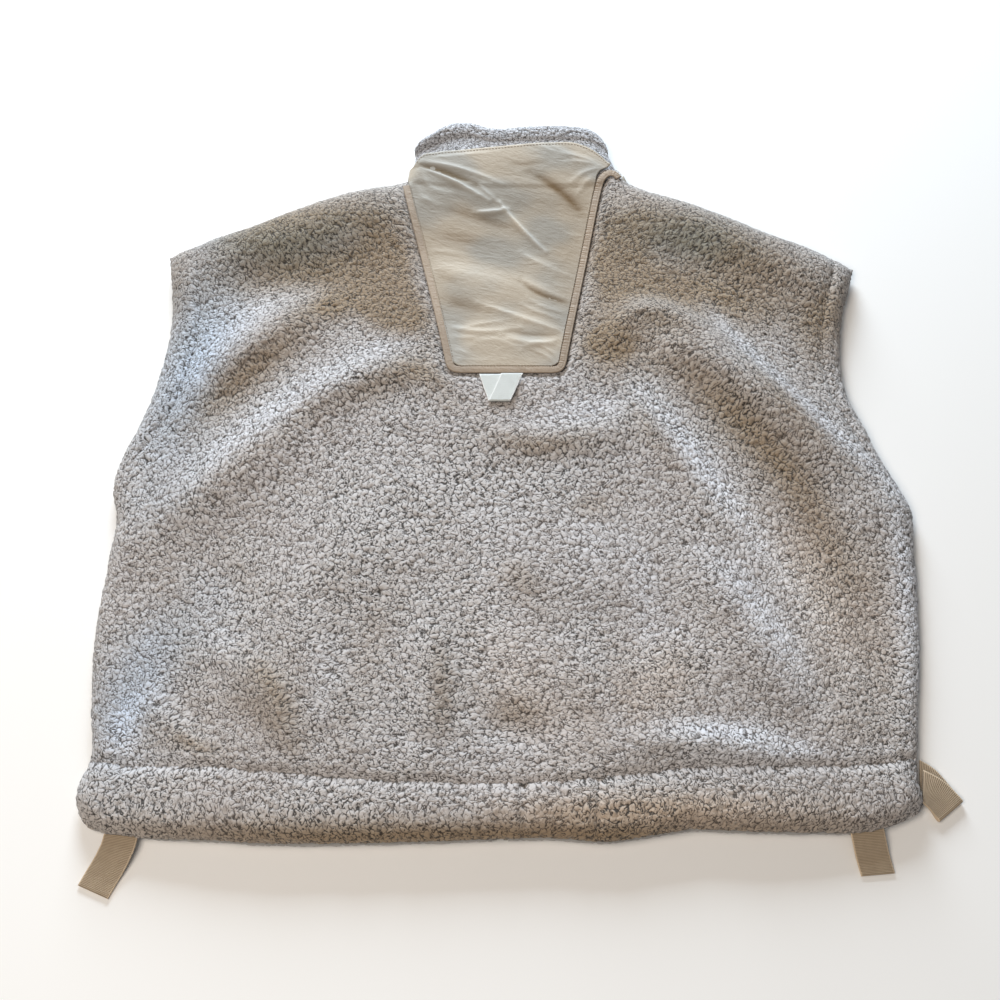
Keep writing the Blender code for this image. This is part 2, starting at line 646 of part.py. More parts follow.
def collar_lining():
    """One strip of sherpa from zip to zip, its top edge rolled outwards over the collar's edge."""
    sections = []
    ends = []
    for side in (right_of_zip, left_of_zip):
        middle = (COLLAR_LEFT[1] + COLLAR_RIGHT[1]) / 2
        ends.append(np.degrees(np.arccos((side(330) - middle) / ((COLLAR_RIGHT[1] - COLLAR_LEFT[1]) / 2))))
    for turn in LINING_TURN:
        at = min(max(turn, -ends[0]), 360 - ends[1])
        roll = float(lining_roll(at))
        section = []
        for wall in LINING_WALL:
            x, y, z = lining_point(np.radians(at), wall.up, wall.plain + wall.roll * roll)
            if turn == LINING_TURN[0]:
                x = right_of_zip(y)
            if turn == LINING_TURN[-1]:
                x = left_of_zip(y)
            section.append((x, y, z))
        sections.append(section)
    return loft("collar_lining", np.array(sections, float), "sherpa")


def nylon_left(y):
    beside = yoke_left(np.minimum(y, YOKE_TOP)) + BINDING_WIDTH / 2 + 1.5 * GAP
    return mixed(beside, collar_left(y) - CLEAR, eased(314, 334, y))


def nylon_foot(x):
    """The nylon's foot, cut off at its corners inside the binding's round ones."""
    near = np.clip(np.minimum(x - nylon_left(YOKE_FOOT), nylon_right(YOKE_FOOT) - x) / CORNER, 0, 1)
    return YOKE_FOOT + BINDING_WIDTH / 2 + GAP + CORNER / 2 * (1 - near) ** 2


def yoke_collar(panels):
    """The yoke and the outside of the collar's back: one nylon panel, lying on the body and the lining."""
    across = [0, 0.02, 0.06, 0.13, 0.26, 0.42, 0.58, 0.74, 0.87, 0.94, 0.98, 1]
    up = list(np.linspace(0, 0.8, 10)) + [0.84, 0.88, 0.92, 0.96, 1]
    x, y = panel_plan(
        across, up, (-76, 108), nylon_left, nylon_right, nylon_foot, nylon_top
    )
    under = clear_of(panels, x, y)
    return shell("yoke_collar", under + NYLON * facing(over_yoke, x, y), under, "nylon")


def collar_fronts():
    across = [0, 0.02, 0.06, 0.14, 0.28, 0.42, 0.56, 0.7, 0.85, 1]
    turned = [1 - a for a in reversed(across)]
    left = lambda y: collar_left(y) - CLEAR
    right = lambda y: collar_right(y) + CLEAR
    sides = (
        ("left", across, (-80, left_of_zip(322)), left, left_of_zip),
        ("right", turned, (right_of_zip(322), 108), right_of_zip, right),
    )
    for side, shares, span, low, high in sides:
        x, y = panel_plan(
            shares, list(np.linspace(0, 1, 5)), span, low, high,
            lambda x: front_neck(x) + NECK_GAP, lambda x: nylon_top(x) - FRONT_TOP_DROP * neck_scoop(x),
        )
        outer = on(collar_front_face, x, y)
        inner = outer + NYLON * facing(collar_front_face, x, y)
        edge = 0 if side == "left" else -1
        inner[:, edge, 2] = outer[:, edge, 2]
        shell("collar_front_" + side, inner, outer, "nylon")


def fillet(before, corner, after, steps=3):
    """Points round a corner, from one point to another, bending towards the corner."""
    before, corner, after = (np.array(p, float) for p in (before, corner, after))
    return [
        tuple((1 - q) ** 2 * before + 2 * q * (1 - q) * corner + q * q * after)
        for q in np.linspace(0, 1, steps + 1)
    ]


def binding_route():
    """The binding's middle: down the left side, along the foot, up the right and over the neck seam."""
    down = [(float(yoke_left(y)), y) for y in np.linspace(YOKE_TOP, YOKE_FOOT + CORNER + 8, 10)]
    corner_l, corner_r = (float(yoke_left(YOKE_FOOT)), YOKE_FOOT), (float(yoke_right(YOKE_FOOT)), YOKE_FOOT)
    high = YOKE_FOOT + CORNER
    route = down + fillet((float(yoke_left(high)), high), corner_l, (corner_l[0] + CORNER, YOKE_FOOT))
    route += [(x, YOKE_FOOT) for x in np.linspace(corner_l[0] + CORNER + 8, corner_r[0] - CORNER - 8, 4)]
    route += fillet((corner_r[0] - CORNER, YOKE_FOOT), corner_r, (float(yoke_right(high)), high))
    route += [(float(yoke_right(y)), y) for y in np.linspace(high + 8, YOKE_ARCH[0].value - 14, 7)]
    ranks = range(len(YOKE_ARCH))
    arch_x = smooth_through([(i, YOKE_ARCH[i].along) for i in ranks])
    arch_y = smooth_through([(i, YOKE_ARCH[i].value) for i in ranks])
    steps = np.linspace(0, len(YOKE_ARCH) - 1, 9)
    return np.array(route + list(zip(arch_x(steps), arch_y(steps))))


def yoke_binding(panels):
    """The piped binding: a rounded band along its route, lying where the nylon lies."""
    route = binding_route()
    ahead = np.gradient(route, axis=0)
    ahead /= np.linalg.norm(ahead, axis=1, keepdims=True)
    side = np.stack([-ahead[:, 1], ahead[:, 0]], axis=1)
    shares = np.array([-1, -0.55, 0, 0.55, 1])
    crown = BINDING * np.array([0.5, 0.93, 1, 0.93, 0.5])
    plan = route[:, None] + side[:, None] * (shares * BINDING_WIDTH / 2)[None, :, None]
    under = clear_of(panels, plan[..., 0], plan[..., 1])
    upper = under + [0, 0, 1] * crown[None, :, None]
    return shell("yoke_binding", upper, under, "nylon")


# ---------------------------------------------------------------- straps, loops and the zip


def strap(name, runs, width, thickness, ground, finish):
    """A flat strap through its runs. Its two edges follow the ground under them, lifted by z."""
    ranks = np.arange(len(runs))
    steps = np.linspace(0, len(runs) - 1, 3 * (len(runs) - 1) + 1)
    x, y, lift, turn = (
        smooth_through(list(zip(ranks, column)))(steps) for column in np.array(runs, float).T
    )
    side = np.stack([np.cos(np.radians(turn)), np.sin(np.radians(turn))], axis=1) * width / 2
    edges = []
    for way in (-1, 1):
        plan = np.stack([x, y], axis=1) + way * side
        edges.append(np.column_stack([plan, ground(plan[:, 0], plan[:, 1]) + lift]))
    left, right = edges
    ahead = np.gradient((left + right) / 2, axis=0)
    normal = np.cross(right - left, ahead)
    normal *= thickness / 2 / np.linalg.norm(normal, axis=1, keepdims=True)
    sections = np.stack([left - normal, right - normal, right + normal, left + normal], axis=1)
    return loft(name, sections, finish)


def level_ground(x, y):
    return np.zeros(np.shape(x))


def straps():
    strap("hanger_loop", HANGER, RIBBON_WIDTH, RIBBON, back_face, "ribbon")
    strap("tab_left", TAB_LEFT, WEBBING_WIDTH, WEBBING, level_ground, "webbing")
    strap("tab_right", TAB_RIGHT, WEBBING_WIDTH, WEBBING, level_ground, "webbing")
    strap("side_loop", SIDE_LOOP, WEBBING_WIDTH, WEBBING, level_ground, "webbing")


def zip_strip(name, left, right, low, high, finish):
    """A flat strip of the zip, between two distances from its middle and two heights."""
    y = np.linspace(float(hem_foot(0)) + 2, ZIP_HEAD, 3)[:, None] + [0, 0]
    x = zip_middle(y) + [left, right]
    strip = np.stack([x, y, 0 * x], axis=-1)
    return shell(name, strip + [0, 0, high], strip + [0, 0, low], finish)


def zip_pieces():
    half, chain = ZIP_WIDTH / 2, CHAIN_WIDTH / 2
    zip_strip("zip_tape_left", -half, -chain - GAP, *TAPE_HEIGHTS, "zip")
    zip_strip("zip_tape_right", chain + GAP, half, *TAPE_HEIGHTS, "zip")
    zip_strip("zip_chain", -chain, chain, *CHAIN_HEIGHTS, "zip")
    sections = []
    for up, half_width, half_depth in SLIDER:
        middle = np.array([float(zip_middle(ZIP_HEAD + up)), ZIP_HEAD + up, SLIDER_MIDDLE])
        ring = [(-1, -0.6), (-0.8, -1), (0.8, -1), (1, -0.6), (1, 0.6), (0.8, 1), (-0.8, 1), (-1, 0.6)]
        sections.append([middle + (a * half_width, 0, b * half_depth) for a, b in ring])
    loft("zip_slider", np.array(sections), "metal")
    strap("zip_pull", ZIP_PULL, 5.0, RIBBON, level_ground, "ribbon")


def main():
    for thing in list(bpy.data.objects):
        bpy.data.objects.remove(thing)
    body = back_body()
    front_bodies()
    armhole_band("band_back_left", True, BACK_UP, back_face, back_inner)
    armhole_band("band_back_right", False, BACK_UP, back_face, back_inner)
    armhole_band("band_front_left", True, FRONT_UP, front_face, front_inner)
    armhole_band("band_front_right", False, FRONT_UP, front_face, front_inner)
    hem_casings()
    lining = collar_lining()
    collar_fronts()
    yoke_collar((body, lining))
    yoke_binding((body, lining))
    straps()
    zip_pieces()


main()
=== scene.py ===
"""The looks of a sherpa fleece vest that lies flat on its front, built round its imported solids.

Lengths are in millimetres until a mesh is made. X runs across the garment and Y up it, towards the
collar, about a point in the middle of the back, which CENTRE moves to the middle of the footprint.
"""

import math
from collections import namedtuple

import bpy
import numpy as np
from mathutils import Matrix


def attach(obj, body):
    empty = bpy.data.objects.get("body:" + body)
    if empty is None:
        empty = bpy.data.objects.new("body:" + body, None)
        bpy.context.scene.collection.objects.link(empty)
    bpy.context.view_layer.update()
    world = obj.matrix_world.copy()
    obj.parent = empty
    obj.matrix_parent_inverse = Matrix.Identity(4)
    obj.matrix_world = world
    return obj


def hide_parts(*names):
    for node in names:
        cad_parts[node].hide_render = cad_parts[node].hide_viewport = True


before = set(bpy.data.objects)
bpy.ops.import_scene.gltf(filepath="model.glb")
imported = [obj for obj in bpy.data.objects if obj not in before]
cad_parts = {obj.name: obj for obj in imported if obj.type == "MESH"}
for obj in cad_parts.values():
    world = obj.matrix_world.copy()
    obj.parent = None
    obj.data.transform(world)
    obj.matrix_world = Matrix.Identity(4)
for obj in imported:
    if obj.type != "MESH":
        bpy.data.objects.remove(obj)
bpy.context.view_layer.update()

MM = 0.001
CENTRE = (15.2, 26.7)

# Cloth and trim thicknesses
SHERPA = 7.0
COLLAR_SHERPA = 6.0
NYLON = 1.0
WEBBING, WEBBING_WIDTH = 1.5, 26.0
RIBBON, RIBBON_WIDTH = 0.9, 19.0
GAP = 0.3

# How the two layers lie on each other, and how they round off at the edges and the neck
MIDDLE = 8.0
HOLLOW = 2.4
HOLLOW_RISE = 4.6
HOLLOW_SIDES, HOLLOW_TOP = (300, 190), (250, 150)
YOKE_CALM = 0.8
ROLL = 17.0
FRONT_ROLL = 12.0
EDGE_START = 0.02
SHOULDER_SLOPE = 0.92
THIN_ROLL = 22.0
NECK_TOP = 18.8
NECK_BLEND = (282, 316)

# Seams press the pile down, and the hem casing puffs up between its edges
GROOVE_DEPTH, BAND_GROOVE_DEPTH, GROOVE_WIDTH = 1.9, 1.9, 4.4
YOKE_GROOVE, YOKE_GROOVE_WIDTH = 2.6, 5.0
HEM_PUFF = 1.8

# The yoke: its binding's centre line, and the binding
YOKE_TOP, YOKE_FOOT = 318.0, 117.0
BINDING_WIDTH, BINDING = 7.0, 2.0
CORNER = 7.0
TUCK = 0.8
PRESSED_UNDER_YOKE = 1.2

# The collar's ring, at the neck and at its top edge
COLLAR_LEFT, COLLAR_RIGHT = (-85.0, -78.0), (118.0, 97.0)
FRONT_NECK_DROP, FRONT_TOP_DROP = 20.0, 26.0
RING_LOW = NYLON + GAP
RING_MIDDLE = (NECK_TOP + RING_LOW) / 2
RING_HALF = (NECK_TOP - RING_LOW) / 2
COLLAR_FOOT, COLLAR_REACH = 327.0, 58.0
CLEAR = 2.2
NECK_GAP = 0.9

# The zip down the centre front, which leans over from its foot to its head
ZIP_FOOT_X, ZIP_HEAD_X = 0.0, 13.0
ZIP_WIDTH, CHAIN_WIDTH = 12.0, 4.6
ZIP_HEAD = 328.0
ZIP_FOOT_Y, ZIP_RISE = -295.0, 640.0
TOOTH_PITCH = 2.6

Station = namedtuple("Station", "along value")
Fold = namedtuple("Fold", "x0 y0 x1 y1 x2 y2 width height")


def table(kind, *rows):
    """Some rows with the named columns of one kind."""
    return [kind(*row) for row in rows]


# The garment's left and right edges: Y, X. The armhole runs up from the underarm to the shoulder tip.
LEFT_EDGE = table(
    Station,
    (-300, -290), (-284, -312), (-262, -326), (-244, -324), (-234, -320), (-190, -323), (-127, -327.5),
    (-60, -324), (-22, -322), (8, -328), (37, -323), (66, -313), (96, -304), (127, -298.5), (158, -295),
    (190, -295.5), (222, -300), (243, -303),
)
RIGHT_EDGE = table(
    Station,
    (-300, 288), (-284, 308), (-262, 325), (-244, 323), (-234, 324), (-190, 330), (-127, 339), (-88, 342),
    (-47, 344), (-14, 346), (12, 336), (37, 325), (66, 315), (96, 304), (122, 300.5), (150, 303), (178, 308),
    (206, 316), (230, 323),
)
UNDERARM_LEFT, UNDERARM_RIGHT = 4.0, -6.0
TIP_LEFT, TIP_RIGHT = (-303.0, 243.0), (323.0, 230.0)

# The shoulder seams and the back neckline: X, Y
SHOULDER = table(
    Station,
    (-303, 243), (-266, 262), (-230, 276), (-194, 293), (-158, 309), (-121, 321), (-89, 326), (-60, 323),
    (12, 321), (84, 323), (113, 327), (140, 317), (176, 303), (212, 286), (248, 268), (283, 253), (304, 241),
    (323, 230),
)
NECK_LEFT, NECK_RIGHT = -90.0, 116.0
# The seam between the body and the hem casing, and the casing's lower edge: X, Y
HEM_SEAM = table(
    Station,
    (-320, -231), (-284, -236), (-230, -237), (-153, -244), (-76, -249), (38, -249), (76, -246), (107, -243),
    (153, -238), (230, -237), (291, -234), (324, -229),
)
HEM_FOOT = table(
    Station,
    (-322, -277), (-309, -284), (-283, -289), (-221, -293), (-190, -295), (-84, -295), (-8, -292.5),
    (38, -291.5), (84, -294), (115, -289.5), (145, -285), (176, -286), (237, -287), (283, -285), (299, -281),
    (313, -275), (324, -267),
)
# The width of the armhole bands above the underarm: distance up, width
BAND_LEFT = table(Station, (0, 2.5), (25, 12), (60, 22), (110, 25), (240, 26))
BAND_RIGHT = table(Station, (0, 2.5), (25, 8), (60, 13), (110, 14), (160, 17), (240, 19))
# The yoke binding's centre line, up its left and right sides: Y, X
YOKE_LEFT = table(Station, (110, -41.5), (118, -43), (220, -64.5), (318, -87.5), (330, -90))
YOKE_RIGHT = table(
    Station,
    (110, 52), (118, 53.5), (220, 73), (290, 86.5), (312, 91), (324, 95), (332, 101),
)
# The binding's last run, over the right end of the neck seam: X, Y
YOKE_ARCH = table(Station, (91, 312), (94.5, 324), (101, 331.5), (108, 331), (113, 325))
# The nylon's right edge, inside the binding and on up the collar: Y, X
NYLON_RIGHT = table(
    Station,
    (110, 48), (118, 49.3), (220, 68.8), (290, 82.3), (312, 86.5), (324, 89.5), (331, 92), (335, 95),
    (338.5, 101), (344, 105),
)
# The nylon's top edge and the rolled lining's top edge: X, Y
NYLON_TOP = table(
    Station,
    (-82, 340), (-76, 350), (-60, 356), (-38, 358.5), (0, 363), (47, 367.5), (74, 366), (89, 357.5),
    (99, 347), (108, 336),
)
LINING_TOP = table(
    Station,
    (-87, 354), (-81, 368), (-66, 381), (-48, 392), (-29, 393), (-9, 387), (29, 389), (67, 390), (86, 387),
    (99, 376), (108, 361), (117, 342),
)
# How much thicker the lining's roll is, round the collar: degrees from the right fold, times
LINING_ROLL = table(
    Station,
    (-90, 0), (-24, 0), (8, 0.7), (60, 1.0), (110, 1.0), (140, 1.7), (162, 1.4), (176, 0.7), (204, 0),
    (270, 0),
)

# The largest folds and the thick shoulder rolls, each a crest through three points of the plan
FOLDS = table(
    Fold,
    (-262, 99, -210, 146, -157, 183, 22, 8), (-297, -39, -230, 13, -172, 78, 31, 10),
    (-175, 70, -118, 111, -64, 108, 19, 6), (-188, -117, -132, -69, -93, -9, 38, 5),
    (-30, 55, 54, 48, 123, 68, 17, 4.5), (112, 73, 153, 21, 173, -46, 20, 4),
    (172, -40, 200, -127, 263, -190, 33, 7.5), (130, 158, 222, 96, 310, -10, 25, 12),
    (100, 150, 134, 178, 192, 147, 12, 6), (-220, -147, -180, -183, -168, -231, 15, 8),
    (-167, -98, -150, -155, -118, -216, 22, 7), (-59, -108, -55, -163, -55, -224, 16, 7),
    (89, -224, 150, -218, 229, -229, 12, 4.5), (-287, 217, -165, 274, -88, 298, 38, 12),
    (104, 306, 210, 255, 310, 198, 34, 12), (40, -88, 94, -68, 149, -114, 38, 2.5),
    (55, -143, 70, -168, 82, -200, 16, 5), (-284, -150, -268, -196, -240, -226, 14, 4),
)
# Shallow dips, and two low rises, between the large folds
DIPS = table(
    Fold,
    (-21, -59, 14, -80, 40, -85, 22, 1.6), (-17, -191, 12, -210, 44, -202, 15, -4),
    (-40, -226, 2, -240, 48, -237, 16, -2), (291, -66, 304, -139, 303, -212, 22, -5),
    (-258, 191, -219, 216, -172, 212, 22, -5), (-241, -61, -217, -87, -208, -117, 17, -2.4),
    (170, -108, 186, -124, 213, -112, 17, -1.5), (-262, -160, -246, -192, -222, -214, 12, -2.5),
    (-110, 60, -60, 30, -20, -10, 24, -1.6), (60, 20, 90, -10, 110, -50, 26, -1.8),
    (-120, -20, -80, -60, -66, -100, 20, 1.4),
)
# Painted shade (height over 0) and painted light (under 0) on the pile: its height is the share of the light
# that it takes
PAINTED_LIGHT_BANDS = table(
    Fold,
    (-272, 87, -243, 151, -175, 201, 17, -0.20), (-256, 8, -193, 73, -110, 136, 15, -0.25),
    (-119, 134, -88, 144, -53, 134, 11, -0.14), (183, 190, 235, 113, 339, -1, 8, -0.36),
    (121, 93, 173, 17, 281, -159, 13, -0.36), (30, 73, 78, 77, 130, 100, 14, -0.19),
    (-294, -227, -290, -197, -275, -177, 13, -0.36), (-223, -185, -191, -195, -162, -225, 9, 0.16),
    (-133, -177, -119, -143, -105, -65, 14, -0.06), (120, -208, 178, -211, 232, -219, 10, -0.36),
    (-265, 61, -222, 110, -156, 176, 19, 0.39), (-280, -47, -223, 17, -163, 73, 13, 0.12),
    (-108, 100, -74, 113, -43, 87, 14, 0.33), (-17, 56, 38, 40, 90, 58, 12, 0.27),
    (-50, -135, -46, -177, -44, -217, 9, 0.22), (-8, -185, 9, -191, 30, -195, 11, 0.26),
    (4, -61, 16, -83, 32, -105, 17, 0.32), (58, -9, 75, -15, 94, -9, 14, 0.28),
    (-201, -148, -177, -177, -158, -216, 12, 0.34), (-258, -208, -238, -221, -212, -227, 8, 0.32),
    (75, -177, 87, -195, 94, -219, 12, -0.15), (-139, -65, -121, -101, -102, -135, 18, 0.06),
    (-282, 243, -192, 263, -93, 293, 32, 0.51), (-256, 204, -154, 221, -73, 243, 24, 0.41),
    (-139, 188, -98, 183, -66, 146, 26, 0.60), (106, 282, 183, 254, 300, 188, 36, 0.48),
    (91, 232, 162, 199, 266, 167, 26, 0.45), (75, 157, 97, 141, 123, 126, 24, 0.47),
    (132, 151, 221, 46, 303, -65, 24, 0.44), (-330, -286, 0, -294, 330, -284, 15, 0.5),
    (-110, 300, -100, 240, -95, 180, 26, 0.28), (110, 300, 105, 230, 85, 150, 24, 0.40),
    (300, 215, 285, 160, 270, 110, 20, 0.22), (-299, 236, -292, 200, -286, 150, 14, 0.15),
    (-45, 78, 0, 80, 40, 92, 10, 0.10), (0, -20, 10, -100, 0, -180, 30, -0.16),
    (-120, -205, -110, -150, -90, -90, 14, 0.10), (170, -60, 215, -120, 250, -200, 16, -0.36),
    (330, 0, 334, -100, 330, -200, 12, -0.36), (60, 20, 70, -40, 80, -100, 22, -0.12),
    (-290, -60, -260, -100, -240, -150, 18, 0.09), (260, 60, 285, 0, 300, -60, 16, -0.16),
    (205, 150, 255, 70, 300, 0, 14, 0.30), (-180, 60, -130, 90, -90, 100, 12, 0.17),
    (90, 110, 130, 60, 160, 0, 14, 0.23), (-100, -215, -20, -225, 60, -222, 12, -0.10),
    (-230, -60, -210, -80, -200, -110, 14, 0.06), (110, -150, 140, -130, 170, -150, 16, -0.21),
    (300, -100, 304, -150, 300, -220, 14, 0.07), (-250, -100, -230, -130, -190, -140, 14, -0.11),
    (60, 40, 90, 60, 120, 90, 10, -0.06), (146, -231, 223, -227, 300, -225, 9, -0.25),
    (-288, -231, -257, -232, -219, -233, 8, -0.2), (-204, 166, -152, 182, -90, 204, 13, 0.2),
    (107, 175, 151, 161, 185, 140, 13, 0.18), (242, -11, 271, -57, 299, -101, 13, 0.15),
    (107, -48, 117, -92, 114, -177, 12, -0.16), (0, -274, 91, -271, 174, -269, 9, 0.2),
    (-144, -152, -141, -185, -137, -217, 12, -0.12),
)
# How strongly the bands paint shade and light on the outer faces, and on the hidden sides
PAINTED_LIGHT_SHARE, HIDDEN_PAINTED_LIGHT_SHARE = 1.12, 0.35
# The collar lining's even painted light, a little lighter than the middle, and its painted tint of the light,
# a little cool
LINING_PAINTED_LIGHT, LINING_PAINTED_TINT = 0.66, 0.42
# Painted tint of the light on the pile: warmer over 0, as in warm light, and cooler under 0, as in cool light
PAINTED_LIGHT_TINTS = table(
    Fold,
    (-285, -2, -272, 135, -246, 242, 34, -0.72), (-256, 253, -182, 247, -120, 281, 26, -0.85),
    (-299, -233, -291, -169, -242, -101, 28, -0.6), (119, 270, 173, 253, 218, 242, 24, -1),
    (215, -30, 267, -92, 272, -201, 40, 0.5), (78, -201, 118, -169, 159, -135, 30, 0.35),
    (0, -274, 121, -271, 257, -271, 14, 0.55), (-16, -101, 16, -169, 46, -225, 30, 0.25),
)
# The puffed casing's short pulls, square to the seam: X, depth, width
CASING_PULLS = [(-292, 1.0, 5), (-243, 0.8, 6), (-196, 1.1, 6), (-131, 0.8, 7), (-84, 0.9, 5), (-30, 0.7, 6),
                (17, 2.2, 3.2), (46, 0.7, 6), (74, 2.4, 3.2), (112, 0.8, 6), (151, 1.0, 5), (170, 1.2, 4),
                (214, 0.8, 6), (262, 0.9, 6), (300, 0.8, 5)]
# The nylon's creases: raised where the height is over 0
CREASES = table(
    Fold,
    (-74, 338, -46, 323, -10, 300, 2.4, 3.0), (-80, 340, -58, 334.5, -22, 318, 3.2, -2.6),
    (-74, 345, -36, 336, 2, 318, 2.6, 1.6), (-19, 317, -11, 308, 0, 296, 1.8, 1.2),
    (-24, 288, -8, 288, 8, 291, 2.4, 2.2), (0, 298, 19, 270, 42, 243, 2.2, 3.2),
    (28, 332, 57, 309, 77, 283, 4.6, -1.9), (-46, 289, -13, 278, 14, 266, 6.0, -1.1),
    (33, 368, 42, 362, 54, 354, 2.4, 0.8), (48, 366, 58, 358, 70, 350, 2.6, 0.7),
    (60, 354, 76, 350, 94, 341, 2.4, 1.0), (62, 345, 79, 344, 96, 337, 2.2, 0.9),
    (66, 320, 81, 333, 97, 336, 2.4, 0.9), (72, 308, 82, 322, 94, 332, 2.6, 0.8),
    (-72, 331, -64, 315, -46, 309, 2.6, 0.8), (-78, 318, -66, 300, -46, 294, 3.0, 0.6),
    (20, 243, 32, 233, 50, 224, 3.4, 1.2), (19, 209, 37, 195, 66, 184, 2.6, -1.7),
    (16, 214, 36, 202, 64, 190, 5.0, 0.9), (-68, 229, -27, 219, 22, 203, 11.0, 1.4),
    (-48, 189, -33, 183, -10, 175, 7.0, -1.1), (-20, 186, 18, 170, 58, 154, 3.2, 1.6),
    (-50, 163, -19, 155, 18, 159, 2.8, 1.2), (-34, 158, -17, 163, 2, 165, 2.2, 0.8),
    (1, 151, 29, 143, 55, 148, 2.8, 1.3), (10, 155, 29, 151, 52, 152, 2.6, -0.9),
    (30, 137, 39, 131, 48, 123, 2.2, 0.7), (35, 142, 43, 136, 53, 130, 2.0, 0.7),
    (-41, 138, -35, 135, -24, 130, 2.4, 0.6), (24, 192, 40, 181, 64, 175, 2.6, 0.9),
    (20, 185, 33, 176, 60, 167, 2.4, 0.8), (-49, 154, -36, 149, -17, 149, 2.6, 0.6),
    (-60, 216, -48, 212, -36, 205, 4.0, -0.6), (20, 139, 32, 142, 48, 142, 2.2, 0.7),
    (-20, 144, -2, 146, 18, 136, 2.6, 0.6), (40, 226, 54, 220, 68, 216, 2.2, 0.6),
    (46, 208, 58, 204, 70, 205, 2.0, 0.5), (-56, 262, -36, 256, -12, 252, 7.0, -0.8),
    (-66, 246, -52, 244, -34, 240, 2.6, 0.5), (-38, 128, -20, 125, 4, 127, 2.2, 0.5),
    (-76, 306, -70, 302, -60, 300, 2.2, 0.5), (-62, 350, -40, 352, 0, 357, 3.0, 0.8),
    (6, 345, 22, 341, 44, 345, 3.0, -0.6), (58, 268, 66, 262, 78, 262, 2.0, 0.5),
)

# Straps: the run of each one's middle in plan, its height over what it lies on, and the heading of its
# width in degrees. A loop's run goes out, turns over at its end and comes back on top.
Run = namedtuple("Run", "x y z turn")
HANGER = table(
    Run,
    (-8.5, 111, 1.2, 0), (-4.5, 97, 1.2, 0), (-1, 86, 1.2, 0), (-0.6, 84.4, 1.4, 0), (-0.5, 84, 2.0, 0),
    (-0.4, 84.4, 2.6, 0), (0.6, 86, 2.8, 0), (5.5, 98, 2.8, 0), (10.5, 111, 2.8, 0),
)
TAB_LEFT = table(
    Run,
    (-286, -268, 8.0, -4), (-289, -292, 8.0, -8), (-292, -301, 6.4, -13), (-296, -309, 3.6, -19),
    (-301, -318, 1.9, -22), (-306.5, -329, 1.1, -23),
)
TAB_RIGHT = table(
    Run,
    (278, -264, 8.0, 3), (280, -287, 8.0, 3), (281, -294, 6.8, 4), (282.5, -301, 4.0, 5),
    (284, -307, 2.2, 5), (286, -316, 1.1, 5),
)
SIDE_LOOP = table(
    Run,
    (326.1, -241, 4.4, 84), (333.5, -247, 2.9, 66), (341, -258, 1.2, 46), (344.6, -264.6, 1.1, 40),
    (346.4, -267.4, 1.7, 38), (346.8, -268, 2.9, 38), (346.4, -267.4, 4.1, 38), (344, -264.6, 4.7, 40),
    (336, -256, 6.6, 58), (326.5, -250, 8.2, 82),
)
ZIP_PULL = table(Run, (13, 340.4, 3.4, 0), (13, 348, 3.0, 0), (13.2, 356, 2.4, 0))

# The fine steps of each panel's outer face, and how many of them make one coarse step of its inner face
BACK_STEP, FRONT_STEP = 2.25, 3.4
CASING_STEP, FRONT_CASING_STEP = 1.9, 2.6
BAND_STEP_UP, BAND_STEP_ACROSS = 2.3, 2.0
COARSE = 6
# The nylon panels' numbers of points, across and up
YOKE_POINTS, COLLAR_FRONT_POINTS = (145, 199), (61, 31)
# The lining's columns of points round the collar, and its rows at the roll's top and where its inside starts
LINING_COLUMNS, ROLL_ROW, INSIDE_ROW = 241, 30, 40
# A stitch's thread: its thickness, its sides, and shares of its length with its thickness there
THREAD, THREAD_SIDES = 0.5, 6
THREAD_SECTIONS = ((0, 0.25), (0.2, 0.9), (0.5, 1.0), (0.8, 0.9), (1, 0.25))
# A zip tooth: how far it reaches past the middle, half its width, and its layers' heights and widths
TOOTH_REACH, TOOTH_HALF = 0.7, 0.52
TOOTH_LAYERS = ((1.8, 0.8), (2.4, 1.0), (3.8, 1.0), (4.4, 0.8))

# The camera, worked out from the photograph, and the floor, in metres
ELEVATION = math.radians(64)
DISTANCE = 1.25
LENS, SENSOR = 52.85, 36.0
FLOOR_HALF, FLOOR_DROP = 6.0, 0.0003


# ---------------------------------------------------------------- curves and small formulas


def smooth_through(rows):
    """A smooth function through rows of (place, value), level past its two ends."""
    knots = np.array(rows, float)
    place, value = knots[:, 0], knots[:, 1]
    slope = np.gradient(value, place)

    def at(s):
        s = np.clip(s, place[0], place[-1])
        i = np.clip(np.searchsorted(place, s, side="right") - 1, 0, len(place) - 2)
        run = place[i + 1] - place[i]
        q = (s - place[i]) / run
        start = value[i] * (1 + 2 * q) * (1 - q) ** 2 + slope[i] * run * q * (1 - q) ** 2
        stop = value[i + 1] * q * q * (3 - 2 * q) - slope[i + 1] * run * q * q * (1 - q)
        return start + stop

    return at


def eased(low, high, s):
    """0 below low and 1 above high, with no corner between."""
    q = np.clip((s - low) / (high - low), 0, 1)
    return q * q * (3 - 2 * q)


def mixed(first, second, share):
    return first + (second - first) * share


def rolled(distance, radius):
    """0 at an edge and 1 from a radius in, along a quarter of an ellipse."""
    near = np.clip(distance / radius + EDGE_START, EDGE_START, 1)
    start = np.sqrt(1 - (1 - EDGE_START) ** 2)
    return (np.sqrt(1 - (1 - near) ** 2) - start) / (1 - start)


def run_of(line):
    """How far along a line of points each of them is."""
    return np.concatenate([[0], np.cumsum(np.linalg.norm(np.diff(line, axis=0), axis=1))])


def across_of(line):
    """The unit direction to the left of a line of the plan, at each of its points."""
    ahead = np.gradient(line, axis=0)
    ahead /= np.linalg.norm(ahead, axis=1, keepdims=True)
    return np.stack([-ahead[:, 1], ahead[:, 0]], axis=1)


